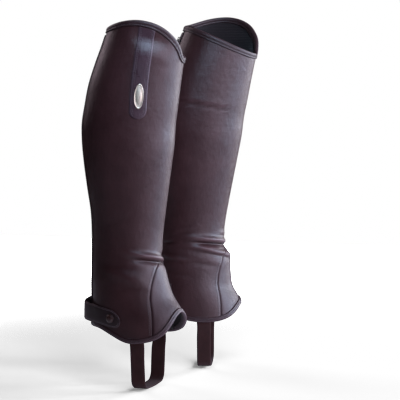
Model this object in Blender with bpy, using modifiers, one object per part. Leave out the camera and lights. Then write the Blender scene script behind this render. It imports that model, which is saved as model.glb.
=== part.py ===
"""Pair of tall gaiters in synthetic leather, in the hollow form they take when worn.

Each gaiter is a leather panel rolled into a tube that meets at a zip up the back. An instep
gusset, folded bindings, a tab with an oval badge, an ankle strap with a snap and an elastic
stirrup strap are sewn on it. The fronts face +X, +Z is up, the right gaiter is at -Y, and
the origin is midway between the two, at the height of the fullest part of the calf.
Sizes here are in millimetres and degrees; MM turns millimetres into metres.
"""
import math

import bmesh
import bpy
import numpy as np
from mathutils import Matrix, Vector

MM = 0.001

# Stance of the pair
LEG_SPACING = 175.0
TOE_OUT = 8.0
GAITERS = [
    # lean: how far the gaiter leans forwards for each millimetre of height
    # hem_drop: how far the front of the hem is pulled down over the instep
    {"name": "right", "side": -1, "forward": -31.0, "lean": 0.01, "hem_drop": 0.0},
    {"name": "left", "side": 1, "forward": 31.0, "lean": 0.067, "hem_drop": 12.0},
]

# Walls and seams
WALL = 1.6
THIN_WALL = 1.0
SEAM_GAP = 0.35
LAYER_GAP = 0.3
BINDING_WALL = 1.0
BINDING_ROOM = 0.5
TOP_BINDING = 8.0
HEM_BINDING = 6.0

# Level sections of the leather's mid-surface, from below the hem to above the top edge.
# The egg draws the front of the section in, as a shin is narrower than a calf.
SECTIONS = np.array([
    # height, centre, half depth, half width, egg
    (-300, 25.0, 78.0, 49.0, 0.12),
    (-270, 18.0, 71.0, 48.0, 0.12),
    (-246, 11.5, 64.3, 46.8, 0.11),
    (-226, 5.0, 57.6, 45.2, 0.09),
    (-208, 1.3, 54.2, 43.8, 0.08),
    (-192, -0.7, 51.8, 42.8, 0.07),
    (-178, -3.0, 49.6, 41.8, 0.06),
    (-160, -3.7, 48.8, 41.2, 0.06),
    (-143, -3.5, 49.2, 41.6, 0.06),
    (-108, -2.5, 51.9, 44.4, 0.07),
    (-73, -3.0, 56.8, 48.6, 0.09),
    (-45, -3.2, 60.6, 52.2, 0.10),
    (-10, -2.9, 64.5, 55.6, 0.11),
    (15, -2.3, 65.3, 56.6, 0.11),
    (41, 1.5, 64.9, 56.6, 0.11),
    (69, 6.0, 63.8, 55.4, 0.10),
    (99, 13.0, 60.9, 53.4, 0.09),
    (123, 19.2, 58.0, 51.4, 0.08),
    (144, 24.5, 56.0, 50.0, 0.08),
    (170, 30.0, 53.5, 48.5, 0.08),
])

# Finished edges: the height at each angle round the leg, from the front (0) to the back (180)
TOP_OUTER_SIDE = np.array([
    # angle, height
    (0, 107), (15, 124), (30, 136), (45, 146), (60, 153.5), (75, 158), (90, 160),
    (105, 159.3), (120, 157), (135, 153.5), (155, 149.5), (180, 148),
])
TOP_INNER_SIDE = np.array([
    (0, 107), (30, 110.5), (60, 119.5), (90, 131.5), (120, 142), (150, 148.5), (180, 148),
])
TOP_BACK = 148.0
HEM_OUTER_SIDE = np.array([
    (0, -245), (20, -250.5), (38, -263), (50, -273), (62, -280), (78, -285), (96, -286),
    (110, -278), (128, -269.5), (155, -268.5), (180, -269),
])
HEM_INNER_SIDE = np.array([
    (0, -246), (20, -255), (38, -267), (50, -275), (65, -281.5), (85, -284), (105, -281),
    (125, -275), (150, -270), (180, -269),
])
HEM_DROP_REACH = 35.0

# Instep gusset: a tongue that widens from the ankle crease down to the hem
GUSSET_TOP = -178.0
GUSSET_HEIGHT = 101.0
GUSSET_OUTER_ANGLE = 67.0
GUSSET_INNER_ANGLE = 65.0
GUSSET_POWER = 0.38

# The largest folds, where the leather breaks over the ankle. Depth is outwards when positive.
FOLDS = [
    # gaiter, angle, reach in angle, height, fall in millimetres a degree, half width, depth
    ("right", 18, 50, -169.6, -0.15, 4.5, 2.8),
    ("right", 18, 46, -176.0, -0.10, 4.0, -2.8),
    ("right", 82, 30, -193.0, -0.20, 9.0, 1.4),
    ("right", -40, 45, -172.0, -0.10, 5.0, -2.4),
    ("left", -30, 62, -166.7, 0.12, 5.0, 2.8),
    ("left", -25, 50, -173.0, 0.10, 4.2, -2.4),
    ("left", -30, 42, -183.5, 0.20, 5.0, 3.0),
    ("left", 0, 60, -195.0, 0.0, 18.0, 4.2),
    ("left", 0, 60, -238.0, 0.0, 12.0, -3.4),
    ("left", 0, 50, -260.0, 0.0, 26.0, -6.5),
    ("left", 45, 45, -174.0, 0.10, 5.0, -2.4),
]

# Zip at the back
ZIP_SLOT = 10.0
FACING_WIDTH = 12.0
FACING_ROOM = 0.4
FACING_END_GAP = 1.8
TAPE_HALF_WIDTH = 12.5
TAPE_WALL = 0.8
TAPE_ROOM = 0.6
COIL_HALF_WIDTH = 2.6
COIL_OUT = 0.6
ZIP_END_GAP = 1.0
SLIDER_HEIGHT = 127.0
SLIDER_SIZE = (8.4, 11.0, 1.5)
BRIDGE_LENGTH = 7.0
BRIDGE_WIDTH = 1.8
BRIDGE_POST = 1.4
BRIDGE_ROOM = 1.6
BRIDGE_ROOF = 0.9
PULL_PIN = 0.5
PULL_WIDTH = 6.6
PULL_LENGTH = 21.0
PULL_WINDOW = (3.2, 5.4)

# Badge tab and badge
TAB_WIDTH = 23.0
TAB_END = 25.0
TAB_ANGLE_TOP = 74.3
TAB_ANGLE_END = 63.3
BADGE_HEIGHT = 56.2
BADGE_SIZE = (12.4, 34.8)
BADGE_PROFILE = [
    # share of the half size, how far out from the tab
    (0.98, 0.0), (1.0, 0.9), (0.93, 1.5), (0.84, 1.1), (0.5, 1.5), (0.15, 1.7),
]

# Ankle strap, from the inner side round the back to the snap on the outer side
STRAP_WIDTH = 25.0
STRAP_WALL = 1.8
STRAP_END_ANGLE = 98.0
STRAP_START_ANGLE = 240.0
STRAP_LIE = 2.2
STRAP_STAND_OFF = 11.0
STRAP_HEIGHTS = np.array([(98, -254.6), (130, -249.8), (180, -247), (215, -241.5), (240, -240)])
SNAP_ANGLE = 110.5
SNAP_PROFILE = [
    # radius, how far out from the strap, from the top of the cap down its side
    (0.0, 2.6), (3.2, 2.5), (5.2, 2.0), (6.3, 1.0), (6.3, 0.0), (0.0, 0.0),
]

# Elastic stirrup strap that hangs as a loop from inside the hem
STIRRUP_ANGLE = 85.5
STIRRUP_WIDTH = 20.0
STIRRUP_WALL = 1.6
STIRRUP_TOP = -268.0
STIRRUP_HEM = -284.0
STIRRUP_BOTTOM = -352.0
STIRRUP_INSET = 3.9
LOOP_HALF_WIDTH = 38.0
LOOP_CORNER = 14.0


def curve_through(table, x, column=1):
    """Smooth curve through a table's points: cubic pieces with the table's own slopes."""
    xs, ys = table[:, 0].astype(float), table[:, column].astype(float)
    slope = np.gradient(ys, xs)
    i = np.clip(np.searchsorted(xs, x) - 1, 0, len(xs) - 2)
    span = xs[i + 1] - xs[i]
    t = np.clip((x - xs[i]) / span, -0.5, 1.5)
    rise = ys[i] * (1 + 2 * t) * (1 - t) ** 2 + ys[i + 1] * t * t * (3 - 2 * t)
    return rise + span * t * (1 - t) * (slope[i] * (1 - t) - slope[i + 1] * t)


def fold_depth(gaiter, angle, height):
    """How far the folds move the leather outwards: each is a soft bell across and along."""
    total = np.zeros(np.broadcast(angle, height).shape)
    for name, middle, reach, level, fall, half_width, depth in FOLDS:
        if name == gaiter["name"]:
            along = (angle - middle) / reach
            across = (height - level + fall * (angle - middle)) / half_width
            total = total + depth * np.exp(-along ** 4 - across ** 2)
    return total


def section_at(angle, height):
    """A section's centre, half depth, side position and the way along it for each radian."""
    centre, depth, width, egg = (curve_through(SECTIONS, height, k) for k in range(1, 5))
    turn = np.radians(angle)
    side = width * np.sin(turn) * (1 - egg * np.cos(turn))
    ahead_step = -depth * np.sin(turn)
    side_step = width * (np.cos(turn) - egg * np.cos(2 * turn))
    return centre + depth * np.cos(turn), side, ahead_step, side_step


def place(gaiter, ahead, side, height):
    """World points of a gaiter from millimetres ahead, to the outer side and up."""
    toe = math.radians(TOE_OUT)
    ahead = ahead + gaiter["lean"] * height
    x = gaiter["forward"] + ahead * math.cos(toe) - side * math.sin(toe)
    y = LEG_SPACING / 2 + ahead * math.sin(toe) + side * math.cos(toe)
    return np.stack(np.broadcast_arrays(x, gaiter["side"] * y, height), -1) * MM


def leather(gaiter, angle, height, out=0.0):
    """World points of the leather's mid-surface, moved out along the section's normal.

    The angle goes from the front (0) by the outer side (90) to the back (180), and is
    negative on the inner side. Where the wall slants, the level push is longer, so that the
    distance is measured square to the wall.
    """
    angle = (angle + 180) % 360 - 180
    ahead, side, ahead_step, side_step = section_at(angle, height)
    length = np.hypot(ahead_step, side_step)
    ahead_out, side_out = side_step / length, -ahead_step / length
    above, below = section_at(angle, height + 1), section_at(angle, height - 1)
    flare = (above[0] - below[0]) / 2 + gaiter["lean"]
    slant = flare * ahead_out + (above[1] - below[1]) / 2 * side_out
    push = out * np.hypot(slant, 1) + fold_depth(gaiter, angle, height)
    return place(gaiter, ahead + push * ahead_out, side + push * side_out, height)


def per_degree(angle, height):
    """Millimetres along the section for each degree."""
    _, _, ahead_step, side_step = section_at(angle, height)
    return np.hypot(ahead_step, side_step) * math.pi / 180


def top_edge(gaiter, angle):
    """Height of the finished top edge: a hump on the outer side, an even slope inside."""
    around = np.abs(angle)
    outer, inner = curve_through(TOP_OUTER_SIDE, around), curve_through(TOP_INNER_SIDE, around)
    return np.where(angle > 0, outer, inner)


def hem_edge(gaiter, angle):
    """Height of the finished hem, lowest at the sides and pulled down at the front."""
    around = np.abs(angle)
    outer, inner = curve_through(HEM_OUTER_SIDE, around), curve_through(HEM_INNER_SIDE, around)
    drop = gaiter["hem_drop"] * np.exp(-(around / HEM_DROP_REACH) ** 2)
    return np.where(angle > 0, outer, inner) - drop


def seam_angle(height, inner):
    """Angle of the gusset seam at a height, zero above its tip."""
    widest = GUSSET_INNER_ANGLE if inner else GUSSET_OUTER_ANGLE
    share = np.clip((GUSSET_TOP - height) / GUSSET_HEIGHT, 0, 1.4)
    return widest * share ** GUSSET_POWER


def new_material(name, colour, roughness, metallic=0.0):
    material = bpy.data.materials.new(name)
    material.use_nodes = True
    shader = material.node_tree.nodes["Principled BSDF"]
    shader.inputs["Base Color"].default_value = (*colour, 1.0)
    shader.inputs["Roughness"].default_value = roughness
    shader.inputs["Metallic"].default_value = metallic
    material.diffuse_color = (*colour, 1.0)
    return material


def add_object(name, mesh, material, collection):
    part = bpy.data.objects.new(name, mesh)
    part.data.materials.append(material)
    collection.objects.link(part)
    return part


def mesh_from(name, points, faces, closed):
    """Smooth-shaded mesh with doubled points merged; a closed one faces outwards."""
    mesh = bpy.data.meshes.new(name)
    mesh.from_pydata(np.asarray(points).reshape(-1, 3).tolist(), [], faces)
    work = bmesh.new()
    work.from_mesh(mesh)
    bmesh.ops.remove_doubles(work, verts=work.verts, dist=1e-7)
    if closed:
        bmesh.ops.recalc_face_normals(work, faces=work.faces)
    work.to_mesh(mesh)
    work.free()
    mesh.shade_smooth()
    mesh.set_sharp_from_angle(angle=math.radians(40))
    return mesh


def grid_faces(rows, columns, start=0):
    return [
        (a, a + 1, a + columns + 1, a + columns)
        for a in (start + r * columns + c for r in range(rows - 1) for c in range(columns - 1))
    ]


def sheet(name, grids, wall, material, collection):
    """A wall of even thickness on one or more grids of points that share an edge."""
    points, faces = [], []
    for grid in grids:
        faces += grid_faces(*grid.shape[:2], start=len(points))
        points += grid.reshape(-1, 3).tolist()
    part = add_object(name, mesh_from(name, points, faces, False), material, collection)
    solidify = part.modifiers.new("Wall", "SOLIDIFY")
    solidify.thickness = wall * MM
    solidify.offset = 0.0
    return part


def loft(name, rings, material, collection):
    """A solid through closed rings of points, with a flat cap at each end."""
    count, around = rings.shape[:2]
    faces = [tuple(range(around)), tuple(range(count * around - 1, (count - 1) * around - 1, -1))]
    for r in range(count - 1):
        for c in range(around):
            a, b = r * around + c, r * around + (c + 1) % around
            faces.append((a, b, b + around, a + around))
    return add_object(name, mesh_from(name, rings, faces, True), material, collection)


def zip_angle(height, away=ZIP_SLOT / 2):
    """Angle of a line that runs a fixed distance from the middle of the back."""
    return 180 - away / per_degree(180.0, height)


# Rows of the leg panel: levels over the middle, closer at the ankle folds, and rows that
# follow the shaped edges above and below them.
LEVELS = np.array([
    -226, -213, -202, -193, -186, -180, -174.5, -169, -163, -154, -138, -112, -84, -54, -22,
    8, 38, 66, 92,
])
HEM_ROWS = np.array([0.0, 0.35, 0.7])
TOP_ROWS = np.array([0.35, 0.7, 1.0])
PANEL_COLUMNS = 14


def inside_edge(gaiter, angle, edge, sign):
    """Height where the leather ends inside a binding, a steady distance from its edge."""
    rise = edge(gaiter, angle + 2) - edge(gaiter, angle - 2)
    slope = rise / (4 * per_degree(angle, edge(gaiter, angle)))
    trim = (BINDING_WALL + BINDING_ROOM) * np.hypot(slope, 1) + LAYER_GAP
    return edge(gaiter, angle) + sign * trim


def row_heights(gaiter, angle, row):
    """Height of each panel row at an angle."""
    low = inside_edge(gaiter, angle, hem_edge, 1)
    high = inside_edge(gaiter, angle, top_edge, -1)
    shares = np.concatenate([HEM_ROWS, np.ones(len(LEVELS)), 1 + TOP_ROWS])[row]
    levels = np.concatenate([np.full(3, LEVELS[0]), LEVELS, np.full(3, LEVELS[-1])])[row]
    lower = low + (levels - low) * np.minimum(shares, 1)
    return lower + (high - lower) * np.maximum(shares - 1, 0)


def leg_panel(gaiter, material, collection):
    """The main leather piece: from the zip round the outer side, the front and back."""
    row = np.arange(len(LEVELS) + len(HEM_ROWS) + len(TOP_ROWS))[:, None]
    grids = []
    for inner in (False, True):
        share = np.linspace(0, 1, PANEL_COLUMNS + 1)[None, :]
        sign = -1 if inner else 1
        height = LEVELS[0] + 0 * row * share
        for _ in range(12):
            front = seam_angle(height, inner)
            angle = sign * (front + (zip_angle(height) - front) * share)
            height = row_heights(gaiter, angle, row)
        grids.append(leather(gaiter, angle, height))
    lateral = grids[0][:, ::-1]
    return sheet(f"{gaiter['name']}_leg_panel", [lateral, grids[1]], WALL, material, collection)


def instep_gusset(gaiter, material, collection):
    """The tongue below the ankle crease, one seam gap inside the panel's edge."""
    rows, columns = 9, 17
    down = np.linspace(0, 1, rows)[:, None] ** 1.5
    across = np.linspace(-1, 1, columns)[None, :]
    start = GUSSET_TOP - SEAM_GAP - 1.0
    height = start - 60 * down + 0 * across
    for _ in range(12):
        step = SEAM_GAP / per_degree(0.0, height)
        outer = seam_angle(height + SEAM_GAP, False) - step
        inner = seam_angle(height + SEAM_GAP, True) - step
        angle = np.where(across > 0, outer, inner) * across
        end = inside_edge(gaiter, angle, hem_edge, 1)
        height = start + (end - start) * down
    grid = leather(gaiter, angle, height)
    return sheet(f"{gaiter['name']}_instep_gusset", [grid], WALL, material, collection)


def binding(name, gaiter, edge, sign, width, steps, material, collection):
    """A folded strip over an edge: a U-shaped section carried along it.

    The section is in millimetres out from the mid-surface and in from the edge, and in is
    measured square to the edge, on the leather.
    """
    skin = WALL / 2 + BINDING_ROOM
    face = skin + BINDING_WALL
    u_section = np.array([
        # out, in from the edge
        (face, width), (face, 1.2), (0.6 * face, 0.2), (-0.6 * face, 0.2), (-face, 1.2),
        (-face, width), (-skin, width), (-skin, BINDING_WALL), (skin, BINDING_WALL), (skin, width),
    ])
    end = float(zip_angle(TOP_BACK if sign < 0 else float(HEM_OUTER_SIDE[-1, 1])))
    angle = np.linspace(end, -end, steps + 1)[:, None]
    scale = per_degree(angle, edge(gaiter, angle))
    slope = (edge(gaiter, angle + 2) - edge(gaiter, angle - 2)) / (4 * scale)
    slope[0] = slope[-1] = 0
    size = np.hypot(slope, 1)
    inwards = u_section[None, :, 1]
    rings = leather(
        gaiter,
        angle - sign * slope / size / scale * inwards,
        edge(gaiter, angle) + sign / size * inwards,
        u_section[None, :, 0],
    )
    return loft(name, rings, material, collection)


def zip_line(end_gap):
    """Heights of a piece up the back between the two bindings, on the panel's own levels."""
    low = HEM_OUTER_SIDE[-1, 1] + HEM_BINDING + end_gap
    high = TOP_BACK - TOP_BINDING - end_gap
    top = LEVELS[-1]
    ends = [low, (low + LEVELS[0]) / 2], [(2 * top + high) / 3, (top + 2 * high) / 3, high]
    return np.concatenate([ends[0], LEVELS, ends[1]])[:, None]


def zip_facing(gaiter, inner, material, collection):
    """The strip sewn along one side of the back opening."""
    height = zip_line(FACING_END_GAP)
    away = ZIP_SLOT / 2 + FACING_WIDTH * np.linspace(0, 1, 3)[None, :]
    angle = zip_angle(height, away) * (-1 if inner else 1)
    grid = leather(gaiter, angle, height, WALL / 2 + FACING_ROOM + THIN_WALL / 2)
    name = f"{gaiter['name']}_zip_facing_{'inner' if inner else 'outer'}"
    return sheet(name, [grid], THIN_WALL, material, collection)


def zip_tape(gaiter, material, collection):
    """Tape behind the opening, with the closed coil standing up in the slot."""
    inside = -WALL / 2 - TAPE_ROOM
    tape_section = np.array([
        # away from the middle of the back, out from the mid-surface
        (-TAPE_HALF_WIDTH, inside - TAPE_WALL), (0, inside - TAPE_WALL),
        (TAPE_HALF_WIDTH, inside - TAPE_WALL), (TAPE_HALF_WIDTH, inside),
        (COIL_HALF_WIDTH, inside), (COIL_HALF_WIDTH - 0.5, COIL_OUT),
        (0.5 - COIL_HALF_WIDTH, COIL_OUT), (-COIL_HALF_WIDTH, inside),
        (-TAPE_HALF_WIDTH, inside),
    ])
    height = zip_line(ZIP_END_GAP)
    angle = 360 - zip_angle(height, -tape_section[None, :, 0])
    rings = leather(gaiter, angle, height, tape_section[None, :, 1])
    return loft(f"{gaiter['name']}_zip_tape", rings, material, collection)


def surface_frame(gaiter, angle, height, out):
    """Place on the leather with X across, Y up along it and Z out of it."""
    point = Vector(leather(gaiter, angle, height, out))
    up = Vector(leather(gaiter, angle, height + 2, out)) - Vector(leather(gaiter, angle, height - 2, out))
    around = Vector(leather(gaiter, angle + 1, height, out)) - Vector(leather(gaiter, angle - 1, height, out))
    y = up.normalized()
    z = (gaiter["side"] * around.cross(y)).normalized()
    frame = Matrix((y.cross(z), y, z)).transposed().to_4x4()
    frame.translation = point
    return frame


def extrude_outline(name, outline, thickness):
    """A flat plate: an outline in the XY plane, extruded evenly to both sides of it."""
    work = bmesh.new()
    corners = [work.verts.new((x * MM, y * MM, -thickness / 2 * MM)) for x, y in outline]
    face = work.faces.new(corners)
    grown = bmesh.ops.extrude_face_region(work, geom=[face])
    top = [v for v in grown["geom"] if isinstance(v, bmesh.types.BMVert)]
    bmesh.ops.translate(work, verts=top, vec=(0, 0, thickness * MM))
    bmesh.ops.recalc_face_normals(work, faces=work.faces)
    mesh = bpy.data.meshes.new(name)
    work.to_mesh(mesh)
    work.free()
    return mesh


def join_or_cut(part, tool, operation, cutters):
    """Boolean with a hidden tool that shares the part's place."""
    cutters.objects.link(tool)
    tool.hide_render = True
    tool.display_type = "WIRE"
    change = part.modifiers.new(operation.title(), "BOOLEAN")
    change.operation = operation
    change.object = tool


def zip_slider(gaiter, frame, material, collection, cutters):
    """Slider body on the coil, with the bridge that holds the pull."""
    wide, long, thick = SLIDER_SIZE
    waist = 0.3 * long
    outline = [
        (-wide / 2, long / 2), (-wide / 2, waist / 2), (-wide / 3, -long / 2),
        (wide / 3, -long / 2), (wide / 2, waist / 2), (wide / 2, long / 2),
    ]
    name = f"{gaiter['name']}_zip_slider"
    body = add_object(name, extrude_outline(name, outline, thick), material, collection)
    body.matrix_world = frame @ Matrix.Translation((0, 0, thick / 2 * MM))
    half, post = BRIDGE_LENGTH / 2, BRIDGE_POST
    base, under = -0.5, BRIDGE_ROOM
    roof = under + BRIDGE_ROOF
    arch = [
        # along the slider, out from its face
        (-half, base), (-half, roof - 0.6), (0.6 - half, roof), (half - 0.6, roof),
        (half, roof - 0.6), (half, base), (half - post, base), (half - post, under),
        (post - half, under), (post - half, base),
    ]
    bridge = bpy.data.objects.new(f"{name}_bridge", extrude_outline(name, arch, BRIDGE_WIDTH))
    # The arch's outline lies along the slider and stands out of its face.
    stand = Matrix(((0, 0, 1), (1, 0, 0), (0, 1, 0))).to_4x4()
    bridge.matrix_world = frame @ Matrix.Translation((0, 0, thick * MM)) @ stand
    join_or_cut(body, bridge, "UNION", cutters)
    return body


def zip_pull(gaiter, frame, material, collection, cutters):
    """Pull tab: a plate whose top bar passes under the bridge, hung on that bar's axis."""
    thick = 2 * PULL_PIN
    half, window_half = PULL_WIDTH / 2, PULL_WINDOW[0] / 2
    outline = [
        (-half, PULL_PIN), (-half, -PULL_LENGTH + 6), (-0.7 * half, -PULL_LENGTH + 1),
        (0.7 * half, -PULL_LENGTH + 1), (half, -PULL_LENGTH + 6), (half, PULL_PIN),
    ]
    name = f"{gaiter['name']}_zip_pull"
    pull = add_object(name, extrude_outline(name, outline, thick), material, collection)
    axis = frame @ Matrix.Translation((0, 0, (SLIDER_SIZE[2] + BRIDGE_ROOM / 2) * MM))
    pull.matrix_world = axis
    window = [
        (-window_half, -PULL_PIN), (-window_half, -PULL_PIN - PULL_WINDOW[1]),
        (window_half, -PULL_PIN - PULL_WINDOW[1]), (window_half, -PULL_PIN),
    ]
    hole = bpy.data.objects.new(f"{name}_window", extrude_outline(name, window, 4 * thick))
    hole.matrix_world = axis
    join_or_cut(pull, hole, "DIFFERENCE", cutters)
    return pull


def tab_angle(height):
    """Angle of the badge tab's middle line, which leans forwards at the top."""
    share = (height - TAB_END) / (TOP_OUTER_SIDE[6, 1] - TAB_END)
    return TAB_ANGLE_END + (TAB_ANGLE_TOP - TAB_ANGLE_END) * share


def badge_tab(gaiter, material, collection):
    """Strip of even width down the outer side, with a round lower end."""
    half = TAB_WIDTH / 2
    round_rows = half * (1 - np.cos(np.radians(np.linspace(20, 90, 5))))
    top = float(top_edge(gaiter, tab_angle(150.0))) - TOP_BINDING - LAYER_GAP
    straight = np.linspace(TAB_END + half, top, 7)[1:]
    height = np.concatenate([TAB_END + round_rows, straight])[:, None]
    into = np.clip((height - TAB_END) / half, 0, 1)
    reach = half * np.sqrt(1 - (1 - into) ** 2)
    across = np.linspace(-1, 1, 7)[None, :] * reach
    angle = tab_angle(height) + across / per_degree(tab_angle(height), height)
    # The upper rows bend with the binding that they meet.
    limit = top_edge(gaiter, angle) - TOP_BINDING - 2 * LAYER_GAP - 0.5
    blend = np.clip((height - TAB_END - 40) / (top - TAB_END - 40), 0, 1)
    height = height + (limit - top) * blend
    grid = leather(gaiter, angle, height, WALL / 2 + LAYER_GAP + THIN_WALL / 2)
    return sheet(f"{gaiter['name']}_badge_tab", [grid], THIN_WALL, material, collection)


def badge(gaiter, material, collection):
    """Oval metal plate with a raised rim and a slightly domed face, laid on the tab."""
    turn = np.linspace(0, 2 * math.pi, 21)[:-1][None, :]
    base = WALL / 2 + 2 * LAYER_GAP + THIN_WALL
    profile = np.array(BADGE_PROFILE)
    share, lift = profile[:, :1], profile[:, 1:]
    height = BADGE_HEIGHT + share * BADGE_SIZE[1] / 2 * np.sin(turn)
    across = share * BADGE_SIZE[0] / 2 * np.cos(turn)
    angle = tab_angle(height) + across / per_degree(tab_angle(height), height)
    rings = leather(gaiter, angle, height, base + lift)
    return loft(f"{gaiter['name']}_badge", rings, material, collection)


def strap_out(angle):
    """How far the ankle strap's middle lies from the leather: it stands off at the back."""
    return STRAP_LIE + STRAP_STAND_OFF * np.exp(-np.abs((angle - 183) / 31) ** 2.5)


def ankle_strap(gaiter, material, collection):
    """Band from the inner side round the back, with a round end on the outer side."""
    half = STRAP_WIDTH / 2
    ends = STRAP_END_ANGLE + np.array([0.15, 1.2, 3.2, 6.5, 10.5])
    angle = np.concatenate([ends, np.linspace(STRAP_END_ANGLE + 16, STRAP_START_ANGLE, 20)])[:, None]
    metric = float(per_degree(STRAP_END_ANGLE, STRAP_HEIGHTS[0, 1]))
    into = np.clip((angle - STRAP_END_ANGLE) * metric / half, 0, 1)
    reach = half * np.sqrt(1 - (1 - into) ** 2)
    height = curve_through(STRAP_HEIGHTS, angle) + np.linspace(-1, 1, 5)[None, :] * reach
    grid = leather(gaiter, angle, height, strap_out(angle))
    return sheet(f"{gaiter['name']}_ankle_strap", [grid], STRAP_WALL, material, collection)


def snap_cap(gaiter, material, collection):
    """Domed cap of the snap, a turned profile set on the strap."""
    name = f"{gaiter['name']}_snap_cap"
    points = [(radius * MM, 0, rise * MM) for radius, rise in SNAP_PROFILE]
    mesh = bpy.data.meshes.new(name)
    mesh.from_pydata(points, [(i, i + 1) for i in range(len(points) - 1)], [])
    cap = add_object(name, mesh, material, collection)
    turn = cap.modifiers.new("Turn", "SCREW")
    turn.steps = turn.render_steps = 20
    turn.use_merge_vertices = True
    turn.merge_threshold = 0.00001
    height = float(curve_through(STRAP_HEIGHTS, SNAP_ANGLE))
    out = float(strap_out(SNAP_ANGLE)) + STRAP_WALL / 2 + 2 * LAYER_GAP
    cap.matrix_world = surface_frame(gaiter, SNAP_ANGLE, height, out)
    return cap


def stirrup_rows(gaiter, sign):
    """Rows of points of half the stirrup strap, from inside one hem to the loop's middle.

    The upper rows follow the wall that they are sewn to; below the hem the band is flat and
    turns to its level run on a quarter circle.
    """
    across = np.linspace(-0.5, 0.5, 3) * STIRRUP_WIDTH
    height = np.array([STIRRUP_TOP, -276.0, STIRRUP_HEM])[:, None]
    angle = STIRRUP_ANGLE - across[None, :] / per_degree(STIRRUP_ANGLE, height)
    sewn_ahead, sewn_side, _, _ = section_at(angle, height)
    sewn_ahead = sewn_ahead + gaiter["lean"] * (height - STIRRUP_HEM)
    sewn_side = sewn_side - STIRRUP_INSET
    middle = float(section_at(STIRRUP_ANGLE, STIRRUP_HEM)[0])
    corner = np.radians(np.linspace(0, 90, 6))[:, None]
    side = LOOP_HALF_WIDTH - LOOP_CORNER * (1 - np.cos(corner))
    low = STIRRUP_BOTTOM + LOOP_CORNER * (1 - np.sin(corner))
    flat_side = np.concatenate([[[LOOP_HALF_WIDTH + 2.5]], side])
    flat_height = np.concatenate([[[(STIRRUP_HEM + STIRRUP_BOTTOM) / 2 + 8]], low])
    ahead = np.concatenate([sewn_ahead, middle + across[None, :] + 0 * flat_side])
    side = np.concatenate([sewn_side, flat_side + 0 * across[None, :]])
    height = np.concatenate([height, flat_height])
    # The lean is taken out, so that the band hangs upright below a leaning leg.
    upright = ahead - gaiter["lean"] * (height - STIRRUP_HEM)
    return place(gaiter, upright, sign * side, height)


def stirrup_strap(gaiter, material, collection):
    """Flat elastic band that hangs from inside the hem on both sides."""
    grid = np.concatenate([stirrup_rows(gaiter, 1), stirrup_rows(gaiter, -1)[::-1]])
    return sheet(f"{gaiter['name']}_stirrup_strap", [grid], STIRRUP_WALL, material, collection)


def make_gaiter(gaiter, finish, collection, cutters):
    """All fourteen pieces of one gaiter."""
    name = gaiter["name"]
    leg_panel(gaiter, finish["leather"], collection)
    instep_gusset(gaiter, finish["leather"], collection)
    binding(f"{name}_top_binding", gaiter, top_edge, -1, TOP_BINDING, 40, finish["binding"], collection)
    binding(f"{name}_hem_binding", gaiter, hem_edge, 1, HEM_BINDING, 44, finish["binding"], collection)
    zip_facing(gaiter, False, finish["binding"], collection)
    zip_facing(gaiter, True, finish["binding"], collection)
    zip_tape(gaiter, finish["tape"], collection)
    frame = surface_frame(gaiter, 180.0, SLIDER_HEIGHT, COIL_OUT)
    frame = frame @ Matrix.Translation((0, 0, LAYER_GAP * MM))
    zip_slider(gaiter, frame, finish["metal"], collection, cutters)
    zip_pull(gaiter, frame, finish["metal"], collection, cutters)
    badge_tab(gaiter, finish["leather"], collection)
    badge(gaiter, finish["badge"], collection)
    ankle_strap(gaiter, finish["strap"], collection)
    snap_cap(gaiter, finish["snap"], collection)
    stirrup_strap(gaiter, finish["webbing"], collection)


def main():
    for old in list(bpy.data.objects):
        bpy.data.objects.remove(old)
    scene = bpy.context.scene
    collection = bpy.data.collections.new("Pair of gaiters")
    cutters = bpy.data.collections.new("Cutters")
    scene.collection.children.link(collection)
    scene.collection.children.link(cutters)
    finish = {
        "leather": new_material("Synthetic leather", (0.055, 0.033, 0.038), 0.42),
        "binding": new_material("Binding leather", (0.045, 0.026, 0.030), 0.45),
        "strap": new_material("Strap leather", (0.035, 0.019, 0.021), 0.42),
        "tape": new_material("Zip tape", (0.020, 0.014, 0.015), 0.8),
        "metal": new_material("Bronzed metal", (0.22, 0.20, 0.19), 0.35, 1.0),
        "badge": new_material("Satin nickel", (0.62, 0.60, 0.57), 0.3, 1.0),
        "snap": new_material("Painted snap", (0.045, 0.024, 0.022), 0.4),
        "webbing": new_material("Elastic webbing", (0.050, 0.024, 0.026), 0.85),
    }
    for gaiter in GAITERS:
        make_gaiter(gaiter, finish, collection, cutters)


main()
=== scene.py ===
# %% [markdown]
# # A pair of tall leather gaiters
# Tall gaiters, also called half chaps, are close leather tubes that close with a zip up the
# back. Each one here is a panel of synthetic leather with a gusset let into its lower front,
# folded bindings round both edges, a stitched tab with an oval badge, an ankle strap with a
# snap, and an elastic stirrup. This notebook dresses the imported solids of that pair. It loads
# them as a fixed frame, and then makes one sewn piece after another on the same surface.

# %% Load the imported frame
import math

import bmesh
import bpy
import numpy as np
from mathutils import Matrix, Vector


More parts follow.
